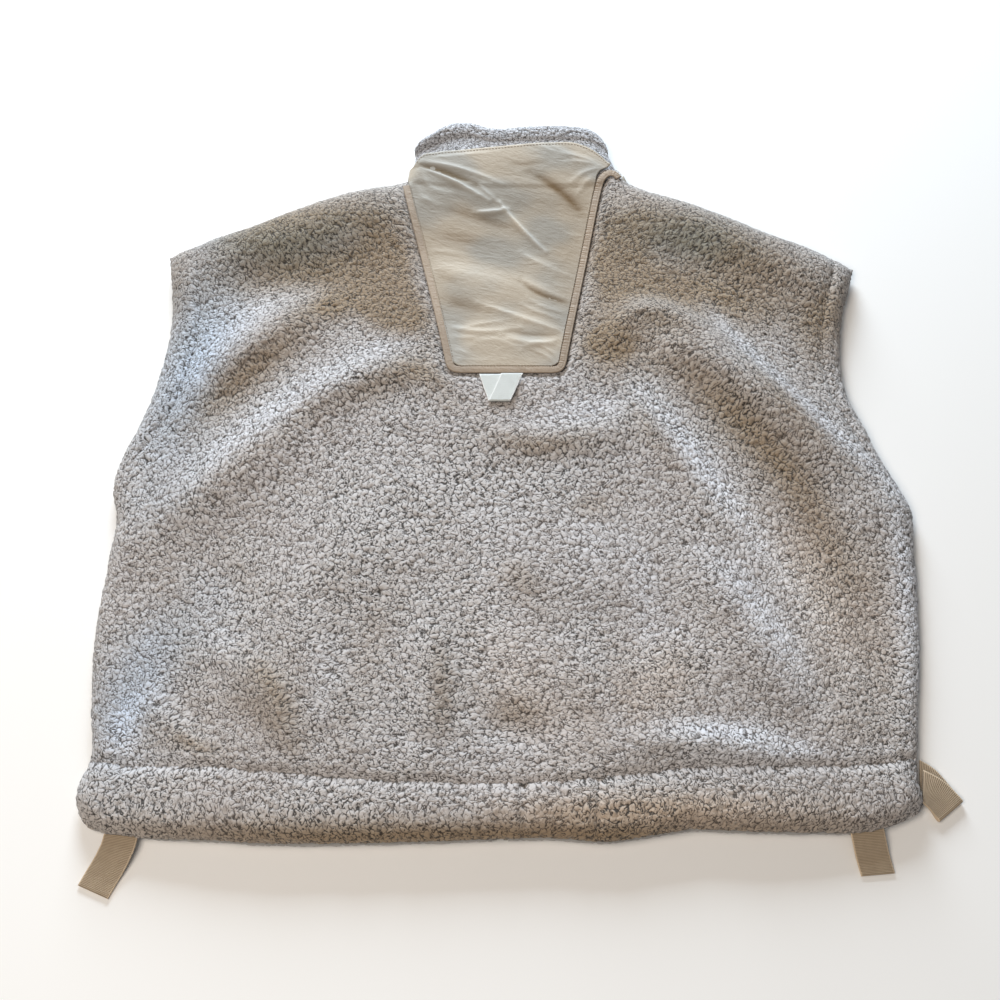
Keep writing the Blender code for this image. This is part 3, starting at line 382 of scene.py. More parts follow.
left_edge, right_edge = smooth_through(LEFT_EDGE), smooth_through(RIGHT_EDGE)
shoulder, hem_seam, hem_foot = map(smooth_through, (SHOULDER, HEM_SEAM, HEM_FOOT))
yoke_left, yoke_right = smooth_through(YOKE_LEFT), smooth_through(YOKE_RIGHT)
nylon_right = smooth_through(NYLON_RIGHT)
nylon_top, lining_top = smooth_through(NYLON_TOP), smooth_through(LINING_TOP)
band_left_width, band_right_width = smooth_through(BAND_LEFT), smooth_through(BAND_RIGHT)
lining_roll = smooth_through(LINING_ROLL)


def band_seam_left(y):
    """The armhole band's seam: the body's left edge above the underarm."""
    return left_edge(y) + band_left_width(y - UNDERARM_LEFT) * (y > UNDERARM_LEFT)


def band_seam_right(y):
    """The same seam on the right."""
    return right_edge(y) - band_right_width(y - UNDERARM_RIGHT) * (y > UNDERARM_RIGHT)


def zip_middle(y):
    """The X of the zip's middle at some height."""
    return mixed(ZIP_FOOT_X, ZIP_HEAD_X, (y - ZIP_FOOT_Y) / ZIP_RISE)


def neck_share(x):
    """1 along the neckline and 0 along the shoulders."""
    return eased(NECK_LEFT - 14, NECK_LEFT + 8, x) * (1 - eased(NECK_RIGHT - 8, NECK_RIGHT + 14, x))


def neck_scoop(x):
    """How far down the front neckline hangs, from 0 at the collar's folds to 1 in the middle."""
    middle, half = (COLLAR_LEFT[0] + COLLAR_RIGHT[0]) / 2, (COLLAR_RIGHT[0] - COLLAR_LEFT[0]) / 2
    return 0.5 + 0.5 * np.cos(np.pi * np.clip((x - middle) / half, -1, 1))


def front_neck(x):
    return shoulder(x) - FRONT_NECK_DROP * neck_scoop(x)


# ---------------------------------------------------------------- the lie of the cloth


def distance_to_crest(fold, x, y):
    """The distance from points of the plan to a fold's crest, and how far along it they are, 0 to 1."""
    ends = np.array([[fold.x0, fold.y0], [fold.x2, fold.y2]])
    pull = 2 * np.array([fold.x1, fold.y1]) - ends.mean(axis=0)
    steps = np.linspace(0, 1, 13)[:, None]
    crest = (1 - steps) ** 2 * ends[0] + 2 * steps * (1 - steps) * pull + steps**2 * ends[1]
    best = np.full(np.shape(x), np.inf)
    along = np.zeros(np.shape(x))
    for i in range(len(crest) - 1):
        run = crest[i + 1] - crest[i]
        q = ((x - crest[i][0]) * run[0] + (y - crest[i][1]) * run[1]) / (run @ run)
        q = np.clip(q, 0, 1)
        away = np.hypot(x - crest[i][0] - q * run[0], y - crest[i][1] - q * run[1])
        along = np.where(away < best, (i + q) / (len(crest) - 1), along)
        best = np.minimum(away, best)
    return best, along


def yoke_cover(x, y):
    """1 under the middle of the yoke and 0 clear of it."""
    inside = np.minimum(np.minimum(x - yoke_left(y), yoke_right(y) - x), y - YOKE_FOOT)
    return eased(-12, 22, inside)


def crest_heights(folds, x, y, sharp=2.0):
    """The height that some folds add, each fading out to its ends. A lower sharp makes a sharper crest."""
    total = np.zeros(np.shape(x))
    for fold in folds:
        away, along = distance_to_crest(fold, x, y)
        fade = np.sin(np.pi * np.clip(along, 0.06, 0.94)) ** 0.6
        total += fold.height * fade * np.exp(-((away / fold.width) ** sharp))
    return total


def fold_heights(x, y):
    return crest_heights(FOLDS + DIPS, x, y) * (1 - YOKE_CALM * yoke_cover(x, y))


def inside_sides(x, y):
    """The distance inside the nearer side edge."""
    return np.minimum(x - left_edge(y), right_edge(y) - x)


def side_and_top(x, y, radius=ROLL):
    """How far the rolled side edges and shoulders have risen: 0 at an edge, 1 inside."""
    top = rolled(SHOULDER_SLOPE * (shoulder(x) - y), radius)
    return rolled(inside_sides(x, y), radius) * mixed(top, 1, neck_share(x))


def at_neck(x, y):
    """1 at the back neckline, 0 on the body and on the shoulders."""
    return neck_share(x) * eased(*NECK_BLEND, y)


def back_loft(x, y):
    """The height of the back's pile before its seams press it."""
    rise = HOLLOW_RISE * eased(*HOLLOW_SIDES, np.abs(x)) * eased(*HOLLOW_TOP, y)
    loft = SHERPA + HOLLOW + SHERPA + rise + fold_heights(x, y)
    loft = mixed(loft, NECK_TOP, at_neck(x, y))
    return MIDDLE + GAP / 2 + (loft - MIDDLE) * side_and_top(x, y)


def yoke_rim(x, y):
    """The distance outside the yoke's binding, less than 0 under it."""
    beside = np.maximum(yoke_left(y) - x, x - yoke_right(y))
    outside = np.hypot(np.maximum(beside, 0), np.maximum(YOKE_FOOT - y, 0))
    inside = np.minimum(-np.maximum(beside, YOKE_FOOT - y), 99)
    return np.where(outside > 0, outside, -inside) - BINDING_WIDTH / 2


def back_face(x, y):
    """The back's outer face: its loft, less what the seams press."""
    seam = np.abs(y - hem_seam(x))
    press = GROOVE_DEPTH * np.exp(-((seam / GROOVE_WIDTH) ** 2))
    bands = np.minimum(np.abs(x - band_seam_left(y)), np.abs(x - band_seam_right(y)))
    above = eased(UNDERARM_LEFT + 10, UNDERARM_LEFT + 50, y)
    press = np.maximum(press, BAND_GROOVE_DEPTH * above * np.exp(-((bands / GROOVE_WIDTH) ** 2)))
    beside_yoke = np.maximum(yoke_rim(x, y), 0)
    press = np.maximum(press, YOKE_GROOVE * np.exp(-((beside_yoke / YOKE_GROOVE_WIDTH) ** 2)))
    return back_loft(x, y) - press * side_and_top(x, y)


def hem_back_face(x, y):
    """The back casing's outer face: a puffed roll, rounded in to the hem."""
    across = np.clip((y - hem_foot(x)) / (hem_seam(x) - hem_foot(x)), 0, 1)
    puffed = back_face(x, y) + HEM_PUFF * np.sin(np.pi * across) ** 0.7 * side_and_top(x, y)
    for place, depth, width in CASING_PULLS:
        puffed -= depth * np.exp(-(((x - place - 2 * across) / width) ** 2)) * side_and_top(x, y)
    floor = np.maximum(back_loft(x, y) - SHERPA, MIDDLE) + 1.0
    return mixed(floor, puffed, rolled(y - hem_foot(x), 15))


def front_face(x, y):
    """The front's outer face, flat on the ground and curling up to meet the back."""
    return (MIDDLE - GAP / 2) * (1 - side_and_top(x, y, FRONT_ROLL))


def hem_front_face(x, y):
    flat = front_face(x, y)
    return mixed(np.maximum(flat, SHERPA - 1.2), flat, rolled(y - hem_foot(x), 9))


def cloth_thickness(x, y):
    """The pile is thinner where it turns round an edge."""
    share = 0.5 + 0.5 * side_and_top(x, y, THIN_ROLL)
    return mixed(SHERPA * share, COLLAR_SHERPA, at_neck(x, y))


def on(face, x, y, lift=0.0):
    return np.stack([x, y, face(x, y) + lift], axis=-1)


def normals_of(grid):
    """Unit normals of a grid of points, facing up where its columns run to +X and its rows to +Y."""
    normal = np.cross(np.gradient(grid, axis=1), np.gradient(grid, axis=0))
    return normal / np.maximum(np.linalg.norm(normal, axis=-1, keepdims=True), 1e-9)


# ---------------------------------------------------------------- sockets and node recipes


class Value:
    """A socket. An expression on it adds Math nodes, or Vector Math nodes where it is a vector."""

    def __init__(self, recipe, socket, vector=False):
        self.recipe, self.socket, self.vector = recipe, socket, vector

    def worked(self, operation, first, second):
        kind = "ShaderNodeVectorMath" if self.vector else "ShaderNodeMath"
        return self.recipe.node(kind, {"operation": operation}, {0: first, 1: second}, vector=self.vector)

    def __add__(self, other):
        return self.worked("ADD", self, other)

    __radd__ = __add__

    def __sub__(self, other):
        return self.worked("SUBTRACT", self, other)

    def __rsub__(self, other):
        return self.worked("SUBTRACT", other, self)

    def __mul__(self, other):
        return self.worked("MULTIPLY", self, other)

    __rmul__ = __mul__

    def __truediv__(self, other):
        return self.worked("DIVIDE", self, other)

    def least(self, other):
        return self.worked("MINIMUM", self, other)

    def size(self):
        return self.recipe.node("ShaderNodeMath", {"operation": "ABSOLUTE"}, {0: self})

    def wave(self):
        return self.recipe.node("ShaderNodeMath", {"operation": "SINE"}, {0: self})


class Recipe:
    """Adds nodes to one tree."""

    def __init__(self, tree):
        self.tree = tree

    def node(self, kind, settings=None, sockets=None, output=0, vector=False):
        made = self.tree.nodes.new(kind)
        for name, setting in (settings or {}).items():
            setattr(made, name, setting)
        for name, value in (sockets or {}).items():
            socket = made.inputs[name]
            if isinstance(value, Value):
                self.tree.links.new(value.socket, socket)
            elif isinstance(value, (int, float)) and socket.type == "VECTOR":
                socket.default_value = (value, value, value)
            else:
                socket.default_value = value
        return Value(self, made.outputs[output], vector)

    def noise(self, place, size, detail=2.0, output="Fac"):
        sockets = {"Vector": place, "Scale": 1 / size, "Detail": detail}
        return self.node("ShaderNodeTexNoise", {}, sockets, output, vector=output == "Color")

    def cells(self, place, size, feature="F1"):
        settings = {"feature": feature, "voronoi_dimensions": "2D"}
        return self.node("ShaderNodeTexVoronoi", settings, {"Vector": place, "Scale": 1 / size}, "Distance")

    def step(self, value, low, high, to_low=0.0, to_high=1.0):
        sockets = {"Value": value, "From Min": low, "From Max": high, "To Min": to_low, "To Max": to_high}
        return self.node("ShaderNodeMapRange", {"interpolation_type": "SMOOTHSTEP"}, sockets, "Result")

    def colour(self, first, second, share):
        """One colour turning into another as share goes from 0 to 1."""
        sockets = {0: share}
        for place, value in ((6, first), (7, second)):
            sockets[place] = value if isinstance(value, Value) else (*value, 1)
        return self.node("ShaderNodeMix", {"data_type": "RGBA"}, sockets, 2, vector=True)

    def stretched(self, place, y):
        """A place with its Y scaled, for a grain that runs along X."""
        sockets = {0: place, 1: (1, y, 1)}
        return self.node("ShaderNodeVectorMath", {"operation": "MULTIPLY"}, sockets, vector=True)


# The sherpa's curls: how wide they are, how far noise bends and kinks them, and how wide the worm-like
# lines through them and the clumps are
CURL, CURL_BEND, CURL_KINK, WORM, CLUMP = 4.2, 4.8, 2.4, 3.1, 17.0
CURL_HEIGHT, CLUMP_HEIGHT = 1.7, 1.4
CURL_LEVEL, CLUMP_LEVEL = 0.75, 0.5


def curls(recipe, place):
    """The height of the pile's curls, 0 between them to 1, its clumps, and the way to a curl's edge."""
    bend = (recipe.noise(place, 4.4, 0.0, "Color") - 0.5) * CURL_BEND
    kink = (recipe.noise(place, 1.5, 0.0, "Color") - 0.5) * CURL_KINK
    bent = place + bend + kink
    worm = (recipe.noise(place + kink, WORM, 0.0) - 0.5).size() * 9.0
    turn = recipe.step(recipe.noise(place, 3.6, 0.0), 0.4, 0.6)
    edge = (recipe.cells(bent, CURL, "DISTANCE_TO_EDGE") * CURL + turn * 0.6).least(worm + 0.65 - turn * 0.6)
    away = (recipe.cells(bent, CURL) * 1.3).least(1.0)
    rim = 1 - (edge / 1.1).least(1.0)
    return (1 - away * away) * 0.45 + (1 - rim * rim) * 0.55, recipe.noise(place, CLUMP, 1.0), edge


def read_recipe(points, recipe_of):
    """What a recipe gives at points, as one row of numbers for each of its values."""
    mesh = bpy.data.meshes.new("samples")
    mesh.from_pydata(points.reshape(-1, 3).tolist(), [], [])
    samples = bpy.data.objects.new("samples", mesh)
    bpy.context.scene.collection.objects.link(samples)
    tree = bpy.data.node_groups.new("samples", "GeometryNodeTree")
    tree.interface.new_socket("Geometry", in_out="INPUT", socket_type="NodeSocketGeometry")
    tree.interface.new_socket("Geometry", in_out="OUTPUT", socket_type="NodeSocketGeometry")
    recipe = Recipe(tree)
    values = recipe_of(recipe, recipe.node("GeometryNodeInputPosition", vector=True))[:2]
    geometry = recipe.node("NodeGroupInput")
    for i, value in enumerate(values):
        sockets = {"Geometry": geometry, "Name": f"value{i}", "Value": value}
        geometry = recipe.node("GeometryNodeStoreNamedAttribute", {}, sockets)
    tree.links.new(geometry.socket, tree.nodes.new("NodeGroupOutput").inputs[0])
    samples.modifiers.new("samples", "NODES").node_group = tree
    evaluated = samples.evaluated_get(bpy.context.evaluated_depsgraph_get()).data
    read = np.zeros((len(values), len(mesh.vertices)), np.float32)
    for i in range(len(values)):
        evaluated.attributes[f"value{i}"].data.foreach_get("value", read[i])
    bpy.data.objects.remove(samples)
    bpy.data.meshes.remove(mesh)
    bpy.data.node_groups.remove(tree)
    return read.reshape(len(read), *points.shape[:-1]).astype(float)


# ---------------------------------------------------------------- materials


def finish(name, **constants):
    """A new material's recipe and its shader, with the sockets that are the same all over."""
    made = bpy.data.materials.new(name)
    made.use_nodes = True
    shader = made.node_tree.nodes["Principled BSDF"]
    for socket, value in constants.items():
        shader.inputs[socket.replace("_", " ").title()].default_value = value
    return made, Recipe(made.node_tree), shader


def dress(recipe, shader, colour, roughness=None, height=None, depth=1.0, strength=1.0):
    """Links a colour, a roughness and a bump of some depth in millimetres to a shader."""
    recipe.tree.links.new(colour.socket, shader.inputs["Base Color"])
    if roughness is not None:
        recipe.tree.links.new(roughness.socket, shader.inputs["Roughness"])
    if height is not None:
        sockets = {"Height": height, "Distance": depth * MM, "Strength": strength}
        bump = recipe.node("ShaderNodeBump", {}, sockets, "Normal")
        recipe.tree.links.new(bump.socket, shader.inputs["Normal"])


def attribute(recipe, name, vector=False):
    output = "Vector" if vector else "Fac"
    return recipe.node("ShaderNodeAttribute", {"attribute_name": name}, {}, output, vector)


# How much of each colour the pile gives back under painted shade, and under painted light
PAINTED_SHADE_COLOUR, PAINTED_LIGHT_COLOUR = (0.55, 0.43, 0.29), (1.37, 1.48, 1.64)
# How the painted tint of cool and warm light scales each colour
PAINTED_COOL_LIGHT, PAINTED_WARM_LIGHT = (0.81, 1.0, 1.23), (1.21, 1.0, 0.79)


def sherpa_finish(name, painted_gap_shade, shade, light):
    """Curly pile: painted shade between the curls, a painted highlight on their tops, loose fibres, painted
    broad shade and light, and a painted tint of the light.
    """
    made, recipe, shader = finish(name, roughness=0.95, sheen_weight=0.25, sheen_roughness=0.6)
    place = attribute(recipe, "cloth_mm", True)
    pile = attribute(recipe, "pile")
    curl, _, edge = curls(recipe, place)
    fibre = recipe.noise(place, 0.9, 1.0)
    # The curls' tops painted lighter than their sides: a painted highlight
    lit = recipe.colour(shade, light, recipe.step(curl + fibre * 0.5, 0.6, 1.2))
    # Painted shade in the gaps between the curls
    lit = recipe.colour(painted_gap_shade, lit, recipe.step(edge + fibre * 0.5, 0.36, 0.98))
    patch = recipe.step(recipe.noise(place, 70.0, 2.0), 0.35, 0.7)
    lit = recipe.colour(lit, tuple(c * k for c, k in zip(shade, (1.12, 1.02, 0.98))), patch * 0.2)
    knit = tuple(c * 0.86 for c in light)
    # Painted broad shade and light over the pile
    lit = lit * recipe.colour(PAINTED_SHADE_COLOUR, PAINTED_LIGHT_COLOUR, attribute(recipe, "painted_light"))
    # Painted tint of cool and warm light
    lit = lit * recipe.colour(PAINTED_COOL_LIGHT, PAINTED_WARM_LIGHT, attribute(recipe, "warm"))
    height = (curl * 2.0 + fibre * 0.25) * pile + fibre * 0.05
    dress(recipe, shader, recipe.colour(knit, lit, pile), None, height, 1.3, 0.55)
    return made


# Painted shade in the nylon's crease troughs, and a painted highlight on their crests: how much of each
# colour they give back
PAINTED_CREASE_SHADE, PAINTED_CREASE_HIGHLIGHT = (0.50, 0.41, 0.29), (1.70, 1.95, 2.45)


def nylon_finish(name, tone, shaded):
    """Crinkled plain weave: fine threads, small crinkles across, a soft sheen, and painted shade and
    highlight on its creases.
    """
    made, recipe, shader = finish(name, sheen_weight=0.12, sheen_roughness=0.4)
    shader.inputs["Specular IOR Level"].default_value = 0.3
    place = attribute(recipe, "cloth_mm", True)
    lie = {"Vector": place, "Rotation": (0, 0, -0.42), "Scale": (2.2, 1, 1)}
    across = recipe.node("ShaderNodeMapping", {"vector_type": "TEXTURE"}, lie, vector=True)
    crinkle = (recipe.noise(across, 8.0, 3.0) - 0.5).size()
    small = (recipe.noise(across, 2.5, 2.0) - 0.5).size()
    thread = recipe.noise(recipe.stretched(place, 6.0), 0.9, 1.0)
    cloud = recipe.noise(place, 46.0, 1.0)
    colour = recipe.colour(tone, shaded, recipe.step(cloud, 0.36, 0.66) * 0.8 + thread * 0.12)
    # Painted shade and painted highlight on the creases and the top roll
    colour = colour * recipe.colour(PAINTED_CREASE_SHADE, PAINTED_CREASE_HIGHLIGHT, attribute(recipe, "painted_light"))
    height = crinkle * -1.1 + small * -0.4 + thread * 0.05
    dress(recipe, shader, colour, recipe.step(thread, 0.2, 0.8, 0.58, 0.72), height, 1.2, 0.9)
    return made


def webbing_finish(name, tone, dark, pitch, depth, half):
    """Ribs across a strap of some half width, with a painted highlight along each edge."""
    made, recipe, shader = finish(name, roughness=0.8, sheen_weight=0.2)
    place = attribute(recipe, "strap_mm", True)
    split = recipe.node("ShaderNodeSeparateXYZ", {}, {0: place}, "X")
    across = Value(recipe, split.socket.node.outputs["Y"])
    ribs = (split * (2 * math.pi / pitch)).wave() * 0.5 + 0.5
    warp = (across * (2 * math.pi / (pitch * 0.8))).wave() * 0.5 + 0.5
    worn = recipe.noise(place, 7.0, 2.0)
    fibre = recipe.noise(recipe.stretched(place, 3.0), 0.5, 2.0)
    colour = recipe.colour(dark, tone, recipe.step(ribs * 0.6 + fibre * 0.5 + worn * 0.3, 0.25, 1.0))
    # Painted highlight along each edge of the strap
    painted_edge_highlight = tuple(min(0.85, 1.5 * c) for c in tone)
    colour = recipe.colour(colour, painted_edge_highlight, recipe.step((across - half).size(), half - 1.3, half - 0.5) * 0.8)
    dress(recipe, shader, colour, None, ribs + warp * 0.35 + fibre * 0.4, depth, 0.9)
    return made


def plain_finish(name, tone, dark, grain, **constants):
    """A nearly plain thread, tape, plastic or metal, a little uneven."""
    made, recipe, shader = finish(name, **constants)
    place = recipe.node("ShaderNodeTexCoord", {}, {}, "Object", vector=True) * 1000.0
    speck = recipe.noise(place, grain, 2.0)
    colour = recipe.colour(dark, tone, recipe.step(speck, 0.3, 0.7))
    dress(recipe, shader, colour, None, speck, grain * 0.15, 0.5)
    return made


FINISHES = {
    # The sherpa's painted shade between the curls, then the painted shade and painted highlight of the curls
    "sherpa": sherpa_finish("sherpa", (0.042, 0.038, 0.035), (0.366, 0.351, 0.340), (0.576, 0.562, 0.552)),
    "nylon": nylon_finish("nylon", (0.360, 0.279, 0.183), (0.260, 0.228, 0.174)),
    "binding": nylon_finish("binding", (0.347, 0.256, 0.168), (0.287, 0.214, 0.143)),
    "webbing": webbing_finish(
        "webbing", (0.52, 0.41, 0.29), (0.24, 0.18, 0.12), pitch=1.15, depth=0.35, half=WEBBING_WIDTH / 2
    ),
    "ribbon": webbing_finish(
        "ribbon", (0.72, 0.75, 0.74), (0.50, 0.54, 0.53), pitch=0.7, depth=0.12, half=RIBBON_WIDTH / 2
    ),
    "thread": plain_finish("thread", (0.17, 0.11, 0.07), (0.09, 0.055, 0.035), 0.8, roughness=0.8),
    "zip_tape": plain_finish("zip_tape", (0.42, 0.40, 0.36), (0.30, 0.28, 0.25), 0.8, roughness=0.85),
    "zip_teeth": plain_finish("zip_teeth", (0.40, 0.38, 0.34), (0.32, 0.30, 0.27), 3.0, roughness=0.4),
    "zip_metal": plain_finish(
        "zip_metal", (0.60, 0.60, 0.58), (0.50, 0.50, 0.49), 1.5, roughness=0.3, metallic=1.0
    ),
}


# ---------------------------------------------------------------- meshes


def piece(name, points, faces, finish_name, attributes=None, node=None, slot=None):
    """A mesh object from points in the plan's millimetres, riding with the vest."""
    points = np.asarray(points, float).reshape(-1, 3)
    mesh = bpy.data.meshes.new(name)
    mesh.from_pydata(((points - (*CENTRE, 0.0)) * MM).tolist(), [], faces)
    for key, values in (attributes or {}).items():
        kind = "FLOAT_VECTOR" if values.ndim == 2 else "FLOAT"
        data = mesh.attributes.new(key, kind, "POINT").data
        data.foreach_set("vector" if values.ndim == 2 else "value", values.astype(np.float32).ravel())
    mesh.materials.append(FINISHES[finish_name])
    made = bpy.data.objects.new(name, mesh)
    bpy.context.scene.collection.objects.link(made)
    mesh.shade_smooth()
    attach(made, "root")
    if node:
        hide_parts(node)
    return made


def quads_of(numbers):
    """The faces of a grid of point numbers, facing up where its columns run to +X and its rows to +Y."""
    corners = [numbers[:-1, :-1], numbers[:-1, 1:], numbers[1:, 1:], numbers[1:, :-1]]
    return np.stack(corners, axis=-1).reshape(-1, 4)


def cell_faces(index):
    """The faces of a coarse grid laid on a fine one. Along the rim they keep each fine point."""
    rows, columns = index.shape
    faces = []
    for r in range(0, rows - 1, COARSE):
        for c in range(0, columns - 1, COARSE):
            low = range(c, c + COARSE) if r == 0 else [c]
            right = range(r, r + COARSE) if c + COARSE == columns - 1 else [r]
            high = range(c + COARSE, c, -1) if r + COARSE == rows - 1 else [c + COARSE]
            left = range(r + COARSE, r, -1) if c == 0 else [r + COARSE]
            ring = [(r, k) for k in low] + [(k, c + COARSE) for k in right]
            ring += [(r + COARSE, k) for k in high] + [(k, c) for k in left]
            faces.append([int(index[at]) for at in ring])
    return faces


def rim_of(rows, columns):
    rim = [(0, c) for c in range(columns)]
    rim += [(r, columns - 1) for r in range(1, rows)]
    rim += [(rows - 1, c) for c in range(columns - 2, -1, -1)]
    return rim + [(r, 0) for r in range(rows - 2, 0, -1)]


def painted_light(grid, facing_up):
    """Painted light on the pile: 0 painted shade, 1 painted light. The hidden side's is mirrored and calmer.
    """
    way, share = (1, PAINTED_LIGHT_SHARE) if facing_up else (-1, HIDDEN_PAINTED_LIGHT_SHARE)
    return np.clip(0.5 - share * crest_heights(PAINTED_LIGHT_BANDS, way * grid[..., 0], grid[..., 1]), 0, 1)


def painted_tint_of(grid, facing_up):
    """The pile's painted tint of the light: 0 cool, 1 warm, and 0.5 neither, as on the hidden side."""
    return 0.5 + 0.5 * facing_up * np.clip(crest_heights(PAINTED_LIGHT_TINTS, grid[..., 0], grid[..., 1]), -1, 1)


def unrolled(points):
    """A place for each point on the pile's own plan, which runs on round the edges that roll under."""
    x, y, z = points[..., 0], points[..., 1], points[..., 2]
    return np.stack([x - z * np.tanh(x / 100), y - z * np.tanh(y / 100), z], axis=-1)


def cloth(name, outer, inner, places, finish_name, outward=1, lie=None, **more):
    """A closed wall of cloth: a fine outer grid, and an inner one of coarse steps with all its rim."""
    rows, columns = outer.shape[:2]
    numbers = np.arange(rows * columns).reshape(rows, columns)
    kept = np.zeros((rows, columns), bool)
    kept[::COARSE, ::COARSE] = True
    kept[[0, -1]] = True
    kept[:, [0, -1]] = True
    index = np.full((rows, columns), -1)
    index[kept] = rows * columns + np.arange(kept.sum())
    faces = quads_of(numbers).tolist()
    faces += [face[::-1] for face in cell_faces(index)]
    rim = rim_of(rows, columns)
    for here, there in zip(rim, rim[1:] + rim[:1]):
        faces.append([int(index[here]), int(index[there]), int(numbers[there]), int(numbers[here])])
    if outward < 0:
        faces = [face[::-1] for face in faces]
    points = np.concatenate([outer.reshape(-1, 3), inner[kept]])
    facing_up = outer[..., 2].mean() > inner[kept][:, 2].mean()
    # lie is the painted light: painted shade and painted light on the pile, unless another is given
    if lie is None:
        lie = painted_light(outer, facing_up)
    neither = np.full(kept.sum(), 0.5)
    attributes = {
        "cloth_mm": np.concatenate([places.reshape(-1, 3), unrolled(inner[kept])]),
        "pile": np.concatenate([np.ones(rows * columns), np.zeros(kept.sum())]),
        # The painted light and the painted tint of the light, neither on the inner face
        "painted_light": np.concatenate([lie.ravel(), neither]),
        "warm": np.concatenate([painted_tint_of(outer, facing_up).ravel(), neither]),
    }
    return piece(name, points, faces, finish_name, attributes, **more)


def steps_along(line, spacing):
    """Shares of a line of points, evenly spaced along it, as many as make whole coarse steps."""
    length = run_of(line)
    count = COARSE * max(1, round(length[-1] / spacing / COARSE))
    return np.interp(np.linspace(0, length[-1], count + 1), length, np.linspace(0, 1, len(line)))


# ---------------------------------------------------------------- the sherpa body

BODY_SPAN = (TIP_LEFT[0] + BAND_LEFT[-1].value, TIP_RIGHT[0] - BAND_RIGHT[-1].value)


def unevenly(s):
    """How far the pile pushes a seam's line to either side."""
    return 0.7 * np.sin(1.31 * s) + 0.5 * np.sin(0.83 * s + 2) + 0.4 * np.sin(2.13 * s + 1)


def left_of_body(y):
    y = np.minimum(y, TIP_LEFT[1])
    return band_seam_left(y) + (GAP / 2 + unevenly(y)) * eased(UNDERARM_LEFT, UNDERARM_LEFT + 30, y)


def right_of_body(y):
    y = np.minimum(y, TIP_RIGHT[1])
    return band_seam_right(y) - (GAP / 2 + unevenly(y)) * eased(UNDERARM_RIGHT, UNDERARM_RIGHT + 30, y)


def left_of_zip(y):
    return zip_middle(y) - ZIP_WIDTH / 2 - GAP


def right_of_zip(y):
    return zip_middle(y) + ZIP_WIDTH / 2 + GAP


def above_hem_seam(x):
    return hem_seam(x) + unevenly(x) + 0.05


def below_hem_seam(x):
    return hem_seam(x) + unevenly(x) - 0.05


def end_row(across, span, left, right, height):
    """The Y of a panel's foot or head, with its points shared out between the panel's sides there."""
    x = mixed(*span, np.array(across))
    for _ in range(4):
        y = height(x)
        x = mixed(left(y), right(y), np.array(across))
    return y


def panel_plan(across, up, span, left, right, foot, head):
    """The plan of a panel: each column shares out its height, and each point its row's width."""
    low = end_row(across, span, left, right, foot)
    high = end_row(across, span, left, right, head)
    a, b = np.meshgrid(across, up)
    y = mixed(low, high, b)
    return mixed(left(y), right(y), a), y


def fine_plan(face, spacing, span, left, right, foot, head, at=(0.4, 0.3)):
    """A panel's plan in even steps along its own surface, measured on one row and one column of it."""
    many = np.linspace(0, 1, 1500)
    x, y = panel_plan(many, [at[0]], span, left, right, foot, head)
    across = steps_along(on(face, x, y)[0], spacing)
    x, y = panel_plan([at[1]], many, span, left, right, foot, head)
    up = steps_along(on(face, x, y)[:, 0], spacing)
    return panel_plan(across, up, span, left, right, foot, head)


def piled(grid, outward, share=1.0, cut=False):
    """The grid with its curls standing out along its normals."""
    curl, clump = read_recipe(unrolled(grid), curls)
    height = CURL_HEIGHT * (curl - CURL_LEVEL) + CLUMP_HEIGHT * (clump - CLUMP_LEVEL)
    if cut:
        height = np.minimum(height - 0.4, 0)
    return grid + (share * height)[..., None] * normals_of(grid) * outward


def back_inner(x, y):
    grid = on(back_loft, x, y)
    inner = grid - cloth_thickness(x, y)[..., None] * normals_of(grid)
    inner[..., 2] = np.maximum(inner[..., 2], MIDDLE + GAP / 2)
    return inner


def front_inner(x, y):
    grid = on(front_face, x, y)
    inner = grid + cloth_thickness(x, y)[..., None] * normals_of(grid)
    inner[..., 2] = np.minimum(inner[..., 2], MIDDLE - GAP / 2)
    return inner


def finish_rim(outer, inner, x, y):
    """Ends the inner face level with the outer one where the cloth turns, and right under it at a seam."""
    rim = np.zeros(x.shape, bool)
    rim[[0, -1]] = True
    rim[:, [0, -1]] = True
    turned = rim & (np.minimum(inside_sides(x, y), mixed(shoulder(x) - y, 99, neck_share(x))) < GAP)
    inner[turned, 2] = outer[turned, 2]
    inner[rim & ~turned, :2] = outer[rim & ~turned, :2]
    for row in (0, -1):
        if not turned[row, 1:-1].any():
            inner[row, :, 1] = outer[row, :, 1]


def back_body():
    x, y = fine_plan(back_face, BACK_STEP, BODY_SPAN, left_of_body, right_of_body, above_hem_seam, shoulder)
    grid = on(back_face, x, y)
    under_yoke = eased(2.5, -1.0, yoke_rim(x, y))
    outer = piled(grid, 1, 1 - 0.9 * under_yoke)
    outer[..., 2] -= PRESSED_UNDER_YOKE * under_yoke
    inner = back_inner(x, y)
    finish_rim(outer, inner, x, y)
    made = cloth("back", outer, inner, unrolled(grid), "sherpa", node="back_body")


def halves():
    zip_left, zip_right = left_of_zip(TIP_LEFT[1]), right_of_zip(TIP_LEFT[1])
    return (
        ("left", (BODY_SPAN[0], zip_left), left_of_body, left_of_zip),
        ("right", (zip_right, BODY_SPAN[1]), right_of_zip, right_of_body),
    )


def front_bodies():
    for side, span, left, right in halves():
        x, y = fine_plan(front_face, FRONT_STEP, span, left, right, above_hem_seam, front_neck)
        grid = on(front_face, x, y)
        outer, inner = piled(grid, -1, cut=True), front_inner(x, y)
        finish_rim(outer, inner, x, y)
        node = "front_" + side
        made = cloth(node + "_cloth", outer, inner, unrolled(grid), "sherpa", -1, node=node)


